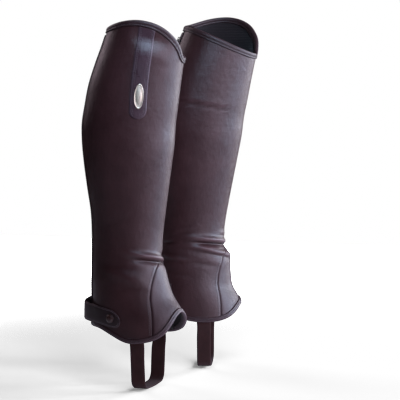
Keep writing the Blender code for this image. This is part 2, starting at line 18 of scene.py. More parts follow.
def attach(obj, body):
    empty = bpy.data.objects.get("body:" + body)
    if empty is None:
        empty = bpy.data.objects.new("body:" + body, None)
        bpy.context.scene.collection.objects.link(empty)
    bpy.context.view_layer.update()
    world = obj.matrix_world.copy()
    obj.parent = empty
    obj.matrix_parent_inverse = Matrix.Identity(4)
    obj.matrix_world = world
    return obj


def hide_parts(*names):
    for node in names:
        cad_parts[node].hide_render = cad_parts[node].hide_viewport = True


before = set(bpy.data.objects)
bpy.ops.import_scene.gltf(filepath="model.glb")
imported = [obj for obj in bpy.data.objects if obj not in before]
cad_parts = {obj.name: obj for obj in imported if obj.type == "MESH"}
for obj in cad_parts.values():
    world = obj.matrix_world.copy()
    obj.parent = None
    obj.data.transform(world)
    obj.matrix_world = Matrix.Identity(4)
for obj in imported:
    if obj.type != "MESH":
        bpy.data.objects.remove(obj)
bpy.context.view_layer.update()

# %% [markdown]
# ## Camera
# The picture was taken from a little above, with a long lens, so the uprights stay upright
# and the far gaiter is hardly smaller than the near one. The camera's place came from fitting
# the outlines of both gaiters by least squares: its turn round the pair, its tilt, its
# distance and its focal length in pixels of a 400 pixel wide frame.

# %% Camera
MM = 0.001
TURN, TILT = math.radians(11.72), math.radians(6.137)
DISTANCE, EYE_HEIGHT, EYE_SHIFT = 2788.2, 199.4, 47.9
FOCAL_PIXELS, FRAME_PIXELS = 1947.6, 400

camera = bpy.data.objects.new("camera", bpy.data.cameras.new("camera"))
bpy.context.scene.collection.objects.link(camera)
camera.data.sensor_width = 36.0
camera.data.lens = FOCAL_PIXELS / FRAME_PIXELS * camera.data.sensor_width
camera.data.clip_end = 50.0
to_right = Vector((math.cos(TURN), math.sin(TURN), 0))
level = Vector((-math.sin(TURN), math.cos(TURN), 0))
sight = level * math.cos(TILT) - Vector((0, 0, math.sin(TILT)))
eye = -level * DISTANCE * MM + to_right * EYE_SHIFT * MM + Vector((0, 0, EYE_HEIGHT * MM))
camera.matrix_world = Matrix.Translation(eye) @ Matrix(
    (to_right, to_right.cross(sight), -sight)
).transposed().to_4x4()
bpy.context.scene.camera = camera
print("camera", round(camera.data.lens, 1), "mm lens at", [round(v, 3) for v in eye])

# %% [markdown]
# ## The surface of a gaiter
# Everything is sewn to one skin, so the skin is a function: it takes an angle round the tube
# and a height, and gives a point. Zero degrees is the front, 90 the outer side, 180 the zip,
# and the inner side is negative. Each level section is an egg whose centre, depth and
# width are smooth curves through a short table. The same numbers shape the solids, so what is
# made from this function lies exactly where its solid does. Sizes are in millimetres here and
# become metres only in the last step.

# %% Stance and sections
LEG_SPACING, TOE_OUT = 175.0, math.radians(8.0)
RIGHT = {"name": "right", "side": -1, "forward": -31.0, "lean": 0.01, "hem_drop": 0.0}
LEFT = {"name": "left", "side": 1, "forward": 31.0, "lean": 0.067, "hem_drop": 12.0}
SECTIONS = np.array([
    # height, centre, half depth, half width, how much fuller it is behind
    (-300, 25.0, 78.0, 49.0, 0.12), (-270, 18.0, 71.0, 48.0, 0.12), (-246, 11.5, 64.3, 46.8, 0.11),
    (-226, 5.0, 57.6, 45.2, 0.09), (-208, 1.3, 54.2, 43.8, 0.08), (-192, -0.7, 51.8, 42.8, 0.07),
    (-178, -3.0, 49.6, 41.8, 0.06), (-160, -3.7, 48.8, 41.2, 0.06), (-143, -3.5, 49.2, 41.6, 0.06),
    (-108, -2.5, 51.9, 44.4, 0.07), (-73, -3.0, 56.8, 48.6, 0.09), (-45, -3.2, 60.6, 52.2, 0.10),
    (-10, -2.9, 64.5, 55.6, 0.11), (15, -2.3, 65.3, 56.6, 0.11), (41, 1.5, 64.9, 56.6, 0.11),
    (69, 6.0, 63.8, 55.4, 0.10), (99, 13.0, 60.9, 53.4, 0.09), (123, 19.2, 58.0, 51.4, 0.08),
    (144, 24.5, 56.0, 50.0, 0.08), (170, 30.0, 53.5, 48.5, 0.08),
])


def curve_through(table, x, column=1):
    """Cubic Hermite curve through a table: on each span the value is
    y0 (1+2t)(1-t)^2 + y1 t^2 (3-2t) + span t (1-t) (m0 (1-t) - m1 t), with t from 0 to 1 and
    the slopes m from the neighbouring rows."""
    xs, ys = table[:, 0].astype(float), table[:, column].astype(float)
    slope = np.gradient(ys, xs)
    i = np.clip(np.searchsorted(xs, x) - 1, 0, len(xs) - 2)
    span = xs[i + 1] - xs[i]
    t = np.clip((x - xs[i]) / span, -0.5, 1.5)
    rise = ys[i] * (1 + 2 * t) * (1 - t) ** 2 + ys[i + 1] * t * t * (3 - 2 * t)
    return rise + span * t * (1 - t) * (slope[i] * (1 - t) - slope[i + 1] * t)


def section_at(angle, height):
    """Egg section: ahead = centre + depth cos a, side = width sin a (1 - egg cos a), and the
    derivatives of both by a."""
    centre, depth, width, egg = (curve_through(SECTIONS, height, k) for k in range(1, 5))
    turn = np.radians(angle)
    side = width * np.sin(turn) * (1 - egg * np.cos(turn))
    ahead_step = -depth * np.sin(turn)
    side_step = width * (np.cos(turn) - egg * np.cos(2 * turn))
    return centre + depth * np.cos(turn), side, ahead_step, side_step


def per_degree(angle, height):
    """Millimetres along the section for each degree."""
    _, _, ahead_step, side_step = section_at(angle, height)
    return np.hypot(ahead_step, side_step) * math.pi / 180


print("girth at the fullest level", round(float(per_degree(np.arange(360.0), 15.0).sum())), "mm")

# %% [markdown]
# ## Folds and creases
# Leather in use breaks where it bends most, above the hem: a few soft rolls lie across the
# front and run out to the sides, and finer creases follow them. A simulation would put such folds
# anywhere, so each one is placed from the picture, as a bell-shaped ridge or trough
# with its own angle, height, slope, width and depth. No two have the same size.

# %% Folds and creases
FOLDS = [
    # gaiter, middle angle, reach, height, fall for each degree, half width, depth outwards
    ("right", 18, 50, -169.6, -0.15, 4.5, 2.8), ("right", 18, 46, -176.0, -0.10, 4.0, -2.8),
    ("right", 82, 30, -193.0, -0.20, 9.0, 1.4), ("right", -40, 45, -172.0, -0.10, 5.0, -2.4),
    ("left", -30, 62, -166.7, 0.12, 5.0, 2.8), ("left", -25, 50, -173.0, 0.10, 4.2, -2.4),
    ("left", -30, 42, -183.5, 0.20, 5.0, 3.0), ("left", 0, 60, -195.0, 0.0, 18.0, 4.2),
    ("left", 0, 60, -238.0, 0.0, 12.0, -3.4), ("left", 0, 50, -260.0, 0.0, 26.0, -6.5),
    ("left", 45, 45, -174.0, 0.10, 5.0, -2.4),
]
CREASES = [
    ("right", 63, 25, 133.5, -0.20, 11.0, -3.4), ("right", 60, 24, 113.0, -0.16, 9.0, 0.7),
    ("right", 26, 28, -174.4, -0.12, 2.4, -0.9), ("right", 30, 22, -167.6, -0.15, 3.0, 0.9),
    ("right", 92, 30, -182.0, -0.10, 6.0, -0.5), ("right", 124, 26, -200.0, 0.05, 8.0, 0.4),
    ("right", 60, 22, -205.0, -0.30, 7.0, 0.6), ("right", -100, 40, -186.0, 0.12, 3.4, -1.0),
    ("right", -70, 34, -197.0, 0.18, 3.6, 0.9), ("right", -130, 30, -168.0, -0.06, 3.0, -0.8),
    ("right", 88, 26, -118.0, 0.30, 7.0, -0.4), ("right", 52, 22, -6.0, 0.70, 8.0, -0.4),
    ("right", -60, 34, 30.0, 0.40, 6.0, -0.6), ("right", -60, 34, 120.0, 0.10, 9.0, -1.0),
    ("left", -38, 44, -170.6, 0.10, 2.6, -1.5), ("left", -32, 36, -165.4, 0.12, 3.2, 1.1),
    ("left", -6, 26, -157.0, 0.08, 4.0, 0.8), ("left", -32, 30, -189.0, 0.20, 3.2, -0.9),
    ("left", -44, 40, -176.0, 0.04, 2.6, 0.9), ("left", -84, 30, -178.0, 0.10, 4.0, -0.4),
    ("left", -118, 30, -190.0, 0.16, 3.4, 0.9), ("left", -70, 26, -199.0, 0.16, 4.2, -0.6),
    ("left", -140, 26, -170.0, -0.10, 3.0, -0.8), ("left", -85, 44, 35.0, 0.21, 2.0, -0.9),
    ("left", -84, 40, 39.5, 0.21, 3.0, 0.7), ("left", 95, 36, -184.0, -0.14, 3.4, -1.0),
    ("left", 70, 30, -194.0, -0.20, 3.6, 0.9), ("left", 130, 30, -172.0, 0.08, 3.2, -0.8),
    ("left", -100, 24, -150.0, -0.22, 4.0, 0.4), ("left", 60, 40, 24.0, 0.35, 6.0, -0.6),
    ("left", -112, 30, -212.0, 0.20, 5.0, -0.5), ("left", 64, 30, 128.0, 0.10, 12.0, -1.8),
]


def fold_depth(gaiter, angle, height):
    """Sum over all folds and creases of depth exp(-((a - middle)/reach)^4 - (dh/half
    width)^2), where dh is the height above the fold's own sloping line."""
    total = np.zeros(np.broadcast(angle, height).shape)
    for name, middle, reach, level_at, fall, half_width, depth in FOLDS + CREASES:
        if name == gaiter["name"]:
            along = (angle - middle) / reach
            across = (height - level_at + fall * (angle - middle)) / half_width
            total = total + depth * np.exp(-along ** 4 - across ** 2)
    return total


def place(gaiter, ahead, side, height):
    """Turns millimetres ahead, to the outer side and up into world metres: the form leans by
    lean x height, turns out by the stance's angle and stands half the spacing away."""
    ahead = ahead + gaiter["lean"] * height
    x = gaiter["forward"] + ahead * math.cos(TOE_OUT) - side * math.sin(TOE_OUT)
    y = LEG_SPACING / 2 + ahead * math.sin(TOE_OUT) + side * math.cos(TOE_OUT)
    return np.stack(np.broadcast_arrays(x, gaiter["side"] * y, height), -1) * MM


def leather(gaiter, angle, height, out=0.0):
    """The skin: the egg section, plus out and the folds along its outward normal. The level
    push is out x sqrt(1 + slant^2), so that out is measured square to a slanted wall."""
    angle = (angle + 180) % 360 - 180
    ahead, side, ahead_step, side_step = section_at(angle, height)
    length = np.hypot(ahead_step, side_step)
    ahead_out, side_out = side_step / length, -ahead_step / length
    above, below = section_at(angle, height + 1), section_at(angle, height - 1)
    flare = (above[0] - below[0]) / 2 + gaiter["lean"]
    slant = flare * ahead_out + (above[1] - below[1]) / 2 * side_out
    push = out * np.hypot(slant, 1) + fold_depth(gaiter, angle, height)
    return place(gaiter, ahead + push * ahead_out, side + push * side_out, height)


print(len(FOLDS), "main folds and", len(CREASES), "creases")

# %% [markdown]
# ## The cut edges
# The top edge has a hump on the outer side, so that it reaches higher there, and an even
# slope inside. The hem is lowest at both sides. The gusset's seam starts at a tip below
# the ankle crease and spreads to both sides like a tongue. All three are heights or angles
# worked out from small tables.

# %% Edges, seam and zip line
WALL, THIN_WALL, LAYER_GAP = 1.6, 1.0, 0.3
BINDING_WALL, BINDING_ROOM, TOP_BINDING, HEM_BINDING = 1.0, 0.5, 8.0, 6.0
TOP_BACK, ZIP_SLOT, HEM_DROP_REACH = 148.0, 10.0, 35.0
GUSSET_TOP, GUSSET_HEIGHT, GUSSET_POWER = -178.0, 101.0, 0.38
GUSSET_OUTER_ANGLE, GUSSET_INNER_ANGLE = 67.0, 65.0
TOP_OUTER_SIDE = np.array([
    (0, 107), (15, 124), (30, 136), (45, 146), (60, 153.5), (75, 158), (90, 160), (105, 159.3),
    (120, 157), (135, 153.5), (155, 149.5), (180, 148),
])
TOP_INNER_SIDE = np.array([
    (0, 107), (30, 110.5), (60, 119.5), (90, 131.5), (120, 142), (150, 148.5), (180, 148),
])
HEM_OUTER_SIDE = np.array([
    (0, -245), (20, -250.5), (38, -263), (50, -273), (62, -280), (78, -285), (96, -286),
    (110, -278), (128, -269.5), (155, -268.5), (180, -269),
])
HEM_INNER_SIDE = np.array([
    (0, -246), (20, -255), (38, -267), (50, -275), (65, -281.5), (85, -284), (105, -281),
    (125, -275), (150, -270), (180, -269),
])


def two_sided(outer_side, inner_side, angle):
    """One curve for each side. Their corner at the front is rounded off: the value is the mean
    of the curves at the angle and at 3 and 6 degrees to each side."""
    total = 0.0
    for shift in (-6, -3, 0, 3, 6):
        around = (angle + shift + 180) % 360 - 180
        outer, inner = (curve_through(side, np.abs(around)) for side in (outer_side, inner_side))
        total = total + np.where(around > 0, outer, inner)
    return total / 5


def top_edge(gaiter, angle):
    """Height of the finished top edge at an angle."""
    return two_sided(TOP_OUTER_SIDE, TOP_INNER_SIDE, angle)


def hem_edge(gaiter, angle):
    """Height of the finished hem, less a drop exp(-(a/35)^2) at the front."""
    around = np.abs((angle + 180) % 360 - 180)
    drop = gaiter["hem_drop"] * np.exp(-(around / HEM_DROP_REACH) ** 2)
    return two_sided(HEM_OUTER_SIDE, HEM_INNER_SIDE, angle) - drop


def seam_angle(height, inner):
    """The gusset's seam: widest angle x (share of the way down)^0.38, zero above the tip."""
    widest = GUSSET_INNER_ANGLE if inner else GUSSET_OUTER_ANGLE
    share = np.clip((GUSSET_TOP - height) / GUSSET_HEIGHT, 0, 1.4)
    return widest * share ** GUSSET_POWER


def zip_angle(height, away=ZIP_SLOT / 2):
    """Angle of a line that runs a fixed distance from the middle of the back."""
    return 180 - away / per_degree(180.0, height)


def edge_slope(gaiter, edge, angle):
    """Rise of an edge for each millimetre along it, taken over 2 degrees to each side, and
    the millimetres in a degree there."""
    scale = per_degree(angle, edge(gaiter, angle))
    return (edge(gaiter, angle + 2) - edge(gaiter, angle - 2)) / (4 * scale), scale


def inside_edge(gaiter, angle, edge, sign):
    """Height where the leather ends inside a binding: a steady distance, square to the edge."""
    slope, _ = edge_slope(gaiter, edge, angle)
    trim = (BINDING_WALL + BINDING_ROOM) * np.hypot(slope, 1) + LAYER_GAP
    return edge(gaiter, angle) + sign * trim


for label, side in (("top", TOP_OUTER_SIDE), ("hem", HEM_OUTER_SIDE)):
    print(label, "edge on the outer side from", side[:, 1].min(), "to", side[:, 1].max(), "mm")

# %% [markdown]
# ## Mesh helpers
# A few helpers carry all of the sewing. `add_mesh` turns arrays of points and faces into an
# object whose place is in its mesh. `loft` joins closed rings of points into a solid strip,
# `sheet_mesh` joins rows of points into a single skin that Solidify then makes a wall, and
# `make` calls a piece's function for the right and for the left gaiter.

# %% Mesh helpers
def grid_quads(rows, columns, flip=False):
    """Corners of each quad of a grid that is numbered row by row."""
    first = np.arange(rows - 1)[:, None] * columns + np.arange(columns - 1)[None, :]
    quads = np.stack([first, first + 1, first + columns + 1, first + columns], -1).reshape(-1, 4)
    return quads[:, ::-1] if flip else quads


def ring_quads(count, around):
    """Corners of the quads between closed rings that follow each other."""
    first = np.arange(count - 1)[:, None] * around + np.arange(around)[None, :]
    beside = np.arange(count - 1)[:, None] * around + (np.arange(around)[None, :] + 1) % around
    return np.stack([first, beside, beside + around, first + around], -1).reshape(-1, 4)


def running_length(points):
    """Length of a line through points, from its start to each point."""
    steps = np.linalg.norm(np.diff(points, axis=0), axis=1)
    return np.concatenate([[0], np.cumsum(steps)])


def add_mesh(name, points, faces, materials, values=None, sharp=50):
    """Object at the origin from points and faces, smooth up to a sharp angle. values are
    numbers for each point, kept as attributes that a material may read."""
    mesh = bpy.data.meshes.new(name)
    mesh.from_pydata(np.asarray(points).reshape(-1, 3).tolist(), [], [list(f) for f in faces])
    for label, numbers in (values or {}).items():
        layer = mesh.attributes.new(label, "FLOAT", "POINT")
        layer.data.foreach_set("value", np.asarray(numbers, float).ravel())
    for material in materials:
        mesh.materials.append(material)
    mesh.validate()
    mesh.shade_smooth()
    mesh.set_sharp_from_angle(angle=math.radians(sharp))
    piece = bpy.data.objects.new(name, mesh)
    bpy.context.scene.collection.objects.link(piece)
    return piece


def clean_up(piece, recalculate):
    """Merges doubled points, and turns the faces of a closed piece outwards."""
    work = bmesh.new()
    work.from_mesh(piece.data)
    bmesh.ops.remove_doubles(work, verts=work.verts, dist=1e-6)
    if recalculate:
        bmesh.ops.recalc_face_normals(work, faces=work.faces)
    work.to_mesh(piece.data)
    work.free()
    return piece


def loft(name, rings, material, values=None):
    """Closed strip: quads between neighbouring rings, and a flat cap at each end."""
    count, around = rings.shape[:2]
    caps = [np.arange(around)[::-1], np.arange(around) + (count - 1) * around]
    faces = [*ring_quads(count, around), *caps]
    return clean_up(add_mesh(name, rings, faces, [material], values), True)


def sheet_mesh(name, grids, gaiter, materials, values):
    """Leather wall: grids of points that share an edge, faces outwards, then Solidify. The
    materials are those of the outside, the inside and the cut edge."""
    points, faces, start = [], [], 0
    for grid in grids:
        faces.append(grid_quads(*grid.shape[:2], flip=gaiter["side"] < 0) + start)
        points.append(grid.reshape(-1, 3))
        start += len(points[-1])
    piece = add_mesh(name, np.concatenate(points), np.concatenate(faces), materials, values, 60)
    clean_up(piece, False)
    solid = piece.modifiers.new("wall", "SOLIDIFY")
    solid.thickness = WALL * MM
    solid.offset = 0.0
    solid.use_even_offset = False
    solid.material_offset = 1
    solid.material_offset_rim = 2
    return piece


def shown_mesh(piece):
    """A piece's mesh with its modifiers."""
    return piece.evaluated_get(bpy.context.evaluated_depsgraph_get()).to_mesh()


pieces = {}


def make(makers):
    """Makes both gaiters' pieces. makers are {the piece's key: its function of a gaiter}."""
    for gaiter in (RIGHT, LEFT):
        for key, maker in makers.items():
            piece = pieces[gaiter["name"], key] = maker(gaiter)
            triangles = sum(len(face.vertices) - 2 for face in shown_mesh(piece).polygons)
            print(piece.name, triangles, "triangles")


print("helpers ready")

# %% [markdown]
# ## Materials
# Each finish starts from what it is. One function turns an sRGB hex value into linear light,
# and one adds a node with its settings and links.

# %% Material helpers
def linear(code):
    """Linear colour of an sRGB hex value, c/12.92 below 0.04045, else ((c+0.055)/1.055)^2.4,
    and an alpha of 1."""
    values = [int(code[i:i + 2], 16) / 255 for i in (1, 3, 5)]
    light = [v / 12.92 if v <= 0.04045 else ((v + 0.055) / 1.055) ** 2.4 for v in values]
    return (*light, 1.0)


def add(tree, kind, settings=None, links=None):
    """Adds a node. settings go to its sockets, by name or number, or else to its own fields,
    and links are {socket: the output that feeds it}."""
    node = tree.nodes.new(kind)
    for key, value in (settings or {}).items():
        if isinstance(key, int) or key in node.inputs:
            node.inputs[key].default_value = value
        else:
            setattr(node, key, value)
    for key, source in (links or {}).items():
        tree.links.new(source, node.inputs[key])
    return node


def new_finish(name, colour, roughness, **settings):
    """A Principled material and its tree, with the numbers that are the same all over."""
    material = bpy.data.materials.new(name)
    material.use_nodes = True
    shader = material.node_tree.nodes["Principled BSDF"]
    shader.inputs["Base Color"].default_value = linear(colour)
    shader.inputs["Roughness"].default_value = roughness
    for key, value in settings.items():
        shader.inputs[key.replace("_", " ")].default_value = value
    material.diffuse_color = linear(colour)
    return material, material.node_tree, shader


SHARE, FIRST, SECOND, MIXED = 0, 6, 7, 2  # the sockets of a node that mixes two colours


def two_tone(tree, shader, share, dark, light, relief=None, strength=0.0, depth=0.0):
    """The end of most finishes: dark to light by a share as the base colour, and, where
    relief is given, the same or another pattern as a bump depth metres deep."""
    mixed = add(tree, "ShaderNodeMix",
                {"data_type": "RGBA", FIRST: linear(dark), SECOND: linear(light)}, {SHARE: share})
    tree.links.new(mixed.outputs[MIXED], shader.inputs["Base Color"])
    if relief:
        bump = add(tree, "ShaderNodeBump", {"Strength": strength, "Distance": depth},
                   {"Height": relief})
        tree.links.new(bump.outputs["Normal"], shader.inputs["Normal"])


print("material helpers ready")

# %% [markdown]
# ## Synthetic leather
# The panels are a coated leather in dark brown, almost black where no light falls on it. The
# coat was rolled with a fine pebble grain about 1 mm across and has a soft, broad shine. Where
# it is bent, the ridges are rubbed a little paler and the troughs stay dark. The grain is a
# Voronoi pattern in real millimetres. At the size of the picture it is finer than a pixel, so
# a slower mottle of 9 to 30 mm carries the uneven shine that does show.

# %% Synthetic leather
def grain(tree, shader, cell, depth):
    """Pebble grain: the distance to the cell's edge as a bump, with cells cell metres wide
    and depth metres deep, over a slow buckle of the coat."""
    where = add(tree, "ShaderNodeTexCoord").outputs["Object"]
    cells = add(tree, "ShaderNodeTexVoronoi",
                {"feature": "DISTANCE_TO_EDGE", "Scale": 1 / cell, "Randomness": 0.9},
                {"Vector": where})
    round_off = add(tree, "ShaderNodeMapRange",
                    {"From Max": 0.25, "interpolation_type": "SMOOTHSTEP"},
                    {"Value": cells.outputs["Distance"]})
    slow = add(tree, "ShaderNodeTexNoise", {"Scale": 1 / 0.009, "Detail": 3.0},
               {"Vector": where})
    slow_bump = add(tree, "ShaderNodeBump", {"Strength": 0.35, "Distance": 0.0012},
                    {"Height": slow.outputs["Fac"]})
    bump = add(tree, "ShaderNodeBump", {"Strength": 0.5, "Distance": depth},
               {"Height": round_off.outputs["Result"], "Normal": slow_bump.outputs["Normal"]})
    tree.links.new(bump.outputs["Normal"], shader.inputs["Normal"])
    return where, round_off.outputs["Result"]


def leather_finish(name, dark, base, rubbed, roughness, cell=0.0011, depth=0.00012):
    """Coated leather: base colour mottled at 30 mm, with painted shade in the grooves between the
    pebbles, paler where the attribute "rub" is high and darker where it is low."""
    material, tree, shader = new_finish(name, base, roughness, IOR=1.5)
    where, pebble = grain(tree, shader, cell, depth)
    mottle = add(tree, "ShaderNodeTexNoise", {"Scale": 1 / 0.03, "Detail": 5.0, "Roughness": 0.6},
                 {"Vector": where})
    spread = add(tree, "ShaderNodeMapRange", {"From Min": 0.3, "From Max": 0.7, "To Min": 0.25},
                 {"Value": mottle.outputs["Fac"]})
    body = add(tree, "ShaderNodeMix",
               {"data_type": "RGBA", FIRST: linear(dark), SECOND: linear(base)},
               {SHARE: spread.outputs["Result"]})
    rub = add(tree, "ShaderNodeAttribute", {"attribute_name": "rub"})
    paler = add(tree, "ShaderNodeMix", {"data_type": "RGBA", SECOND: linear(rubbed)},
                {SHARE: rub.outputs["Fac"], FIRST: body.outputs[MIXED]})
    # Painted shade: the colour is darkened to 0.82 in the grooves between the pebbles.
    shade = add(tree, "ShaderNodeMapRange", {"To Min": 0.82, "To Max": 1.0}, {"Value": pebble})
    pebble_hollow_shade = add(tree, "ShaderNodeMix",
               {"data_type": "RGBA", "blend_type": "MULTIPLY", SHARE: 1.0},
               {FIRST: paler.outputs[MIXED], SECOND: shade.outputs["Result"]})
    tree.links.new(pebble_hollow_shade.outputs[MIXED], shader.inputs["Base Color"])
    polish = add(tree, "ShaderNodeMapRange",
                 {"From Min": 0.3, "From Max": 0.7,
                  "To Min": roughness - 0.05, "To Max": roughness + 0.07},
                 {"Value": mottle.outputs["Fac"]})
    tree.links.new(polish.outputs["Result"], shader.inputs["Roughness"])
    return material


panel_leather = leather_finish(
    "coated leather, dark brown", "#2b1617", "#3f2324", "#604446", 0.33)
# The tab's coat is lighter and bluer than the panel's: partly its own smoother finish, partly
# painted sheen for the light that it catches.
tab_leather = leather_finish(
    "coated leather, badge tab, painted sheen", "#311e22", "#472e35", "#67565f", 0.31)
gusset_leather = leather_finish(
    "coated leather, instep", "#2c1719", "#3d2326", "#62484c", 0.40)
binding_leather = leather_finish(
    "binding leather, folded", "#221213", "#331d1f", "#5a4345", 0.40, 0.0009)
strap_leather = leather_finish(
    "strap leather, smooth", "#1c0d0d", "#281617", "#5e4c50", 0.42, 0.0008, 0.00006)
hem_leather = leather_finish(
    "binding leather, hem", "#2b1719", "#3e2427", "#675058", 0.40, 0.0009)
print("leathers:", panel_leather.name, "/", binding_leather.name, "/", strap_leather.name)

# %% [markdown]
# ## Backing, tapes and threads
# Inside, the coat has a knitted backing of fine polyester loops. The zip's tape is a plain
# weave with threads 0.9 mm apart, and the stirrup is woven elastic whose ribs run lengthwise
# 1.8 mm apart. Sine waves along and across the cloth, at that spacing, make the woven ones,
# and a wave texture bent by noise makes the knit.

# %% Backing, tapes and threads
def woven_finish(name, dark, light, spacing_x, spacing_z, roughness, depth):
    """Woven cloth: two sine waves at the real thread spacings, as colour and as bump. The
    threads follow the piece's own attributes "across" and "along", in metres."""
    material, tree, shader = new_finish(
        name, light, roughness, Sheen_Weight=0.04, Sheen_Roughness=0.6, IOR=1.4)
    waves = []
    for label, spacing in (("across", spacing_x), ("along", spacing_z)):
        run = add(tree, "ShaderNodeAttribute", {"attribute_name": label})
        turn = add(tree, "ShaderNodeMath", {"operation": "MULTIPLY", 1: 2 * math.pi / spacing},
                   {0: run.outputs["Fac"]})
        waves.append(add(tree, "ShaderNodeMath", {"operation": "SINE"}, {0: turn.outputs[0]}))
    both = add(tree, "ShaderNodeMath", {"operation": "MULTIPLY"},
               {0: waves[0].outputs[0], 1: waves[1].outputs[0]})
    share = add(tree, "ShaderNodeMapRange", {"From Min": -1.0}, {"Value": both.outputs[0]})
    where = add(tree, "ShaderNodeTexCoord").outputs["Object"]
    dust = add(tree, "ShaderNodeTexNoise", {"Scale": 1 / 0.012, "Detail": 4.0}, {"Vector": where})
    mixed = add(tree, "ShaderNodeMath", {"operation": "MULTIPLY"},
                {0: share.outputs["Result"], 1: dust.outputs["Fac"]})
    wide = add(tree, "ShaderNodeMath", {"operation": "MULTIPLY", 1: 1.6, "use_clamp": True},
               {0: mixed.outputs[0]})
    two_tone(tree, shader, wide.outputs[0], dark, light, share.outputs["Result"], 0.7, depth)
    return material


def knitted_finish(name, dark, light):
    """Knitted backing: rows 2.4 mm apart up the object, coarser than real ones so that they
    show, bent by noise and broken up by a finer noise. A wave texture's bands lie
    0.314/scale apart."""
    material, tree, shader = new_finish(name, light, 0.9, Sheen_Weight=0.3, Sheen_Roughness=0.5)
    where = add(tree, "ShaderNodeTexCoord").outputs["Object"]
    loops = add(tree, "ShaderNodeTexWave",
                {"wave_type": "BANDS", "bands_direction": "Z", "Scale": 0.314 / 0.0024,
                 "Distortion": 2.0, "Detail": 2.0, "Detail Scale": 2.0}, {"Vector": where})
    fuzz = add(tree, "ShaderNodeTexNoise", {"Scale": 1 / 0.004, "Detail": 4.0}, {"Vector": where})
    both = add(tree, "ShaderNodeMath", {"operation": "MULTIPLY"},
               {0: loops.outputs["Fac"], 1: fuzz.outputs["Fac"]})
    two_tone(tree, shader, both.outputs[0], dark, light, loops.outputs["Fac"], 0.6, 0.0003)
    return material


def uneven_finish(name, dark, light, roughness, size, detail, **settings):
    """Thread, moulded or enamelled finish: patches of a noise size metres wide are darker."""
    material, tree, shader = new_finish(name, light, roughness, **settings)
    where = add(tree, "ShaderNodeTexCoord").outputs["Object"]
    patches = add(tree, "ShaderNodeTexNoise", {"Scale": 1 / size, "Detail": detail},
                  {"Vector": where})
    two_tone(tree, shader, patches.outputs["Fac"], dark, light)
    return material


backing = knitted_finish("knitted backing", "#171012", "#2c2124")
stirrup_webbing = woven_finish(
    "woven elastic", "#281210", "#4a2a28", 0.0018, 0.0022, 0.88, 0.0003)
zip_cloth = woven_finish(
    "zip tape, plain weave", "#100b0c", "#241b1d", 0.0009, 0.0009, 0.85, 0.00015)
thread = uneven_finish("polyester thread", "#4d3e42", "#75666b", 0.5, 0.006, 2.0,
                       Sheen_Weight=0.2)
dark_thread = uneven_finish("dark polyester thread", "#2c2023", "#4b3c40", 0.5, 0.006, 2.0,
                            Sheen_Weight=0.2)
print("cloths:", backing.name, "/", stirrup_webbing.name, "/", zip_cloth.name)

# %% [markdown]
# ## Metals and moulded nylon
# The badge is die-cast zinc with a satin nickel plate, the slider and pull are the same
# casting in a dark bronze plate, the snap's cap is pressed steel under brown enamel, and the
# zip's coil is nylon monofilament. Plating over a cast face is never quite even, so a fine
# noise moves the roughness. The leather's cut edges get a near-black edge paint, which along
# the gusset's seam also stands in for the shade in its groove: painted shade, so that a seam
# shows as a dark line.

# %% Metals and moulded nylon
def metal_finish(name, dark, light, roughness):
    """Plated metal: a fine noise 1.5 mm wide turns the roughness and the tint."""
    material, tree, shader = new_finish(name, light, roughness, Metallic=1.0)
    where = add(tree, "ShaderNodeTexCoord").outputs["Object"]
    cast = add(tree, "ShaderNodeTexNoise", {"Scale": 1 / 0.0015, "Detail": 4.0},
               {"Vector": where})
    polish = add(tree, "ShaderNodeMapRange",
                 {"From Min": 0.3, "From Max": 0.7,
                  "To Min": roughness - 0.07, "To Max": roughness + 0.1},
                 {"Value": cast.outputs["Fac"]})
    tree.links.new(polish.outputs["Result"], shader.inputs["Roughness"])
    two_tone(tree, shader, cast.outputs["Fac"], dark, light, cast.outputs["Fac"], 0.25, 0.0001)
    return material


satin_nickel = metal_finish("satin nickel plate", "#cabda9", "#f2e4cf", 0.46)
bronze_plate = metal_finish("dark bronze plate", "#3a3531", "#635b54", 0.40)
enamel = uneven_finish("brown enamel", "#2c1a18", "#4a302c", 0.28, 0.003, 3.0,
                       Coat_Weight=0.4, Coat_Roughness=0.2)
nylon = uneven_finish("nylon coil", "#120c0d", "#2a2022", 0.38, 0.003, 3.0, IOR=1.53)
# Near-black cut edges: edge paint, and along the gusset's seam painted shade of its groove.
edge_paint_and_seam_shade = uneven_finish("edge paint and painted seam shade", "#0f0809", "#1a1011", 0.75, 0.003, 3.0)
print("metals:", satin_nickel.name, "/", bronze_plate.name, "/", enamel.name, "/", nylon.name)

# %% [markdown]
# ## The leg panel
# One piece of leather goes round from one side of the zip to the other. It is drawn as two
# half grids that share their front column above the gusset's tip and part along the seam
# below it, which is how the real piece is cut. Where it meets the gusset its edge dips into
# the seam, by a quarter of a millimetre over the last two.

# %% Leg panel
LEVELS = np.array([
    -226, -213, -202, -193, -186, -180, -174.5, -169, -163, -154, -138, -112, -84, -54, -22,
    8, 38, 66, 92,
])
HEM_ROWS, TOP_ROWS = np.array([0.0, 0.35, 0.7]), np.array([0.35, 0.7, 1.0])
SEAM_ROLL, PANEL_ROLL, SEAM_ROLL_WIDTH = 1.3, 0.25, 1.7
WEAR, WEAR_RISE, WEAR_STEP = 0.12, 0.55, 4
SETTLING = 14  # rounds in which a grid's angles and heights settle on each other


def finer(values, parts):
    """Linear steps between the values, parts to each gap."""
    at = np.linspace(0, len(values) - 1, (len(values) - 1) * parts + 1)
    return np.interp(at, np.arange(len(values)), values)


def row_heights(gaiter, angle, parts):
    """Heights of the rows: fixed levels over the middle, and near both edges a share of the
    way from the last level to the edge."""
    low = inside_edge(gaiter, angle, hem_edge, 1)
    high = inside_edge(gaiter, angle, top_edge, -1)
    shares = finer(np.concatenate([HEM_ROWS, np.ones(len(LEVELS)), 1 + TOP_ROWS]), parts)
    levels = finer(np.concatenate([np.full(3, LEVELS[0]), LEVELS, np.full(3, LEVELS[-1])]), parts)
    lower = low + (levels[:, None] - low) * np.minimum(shares, 1)[:, None]
    return lower + (high - lower) * np.maximum(shares - 1, 0)[:, None]


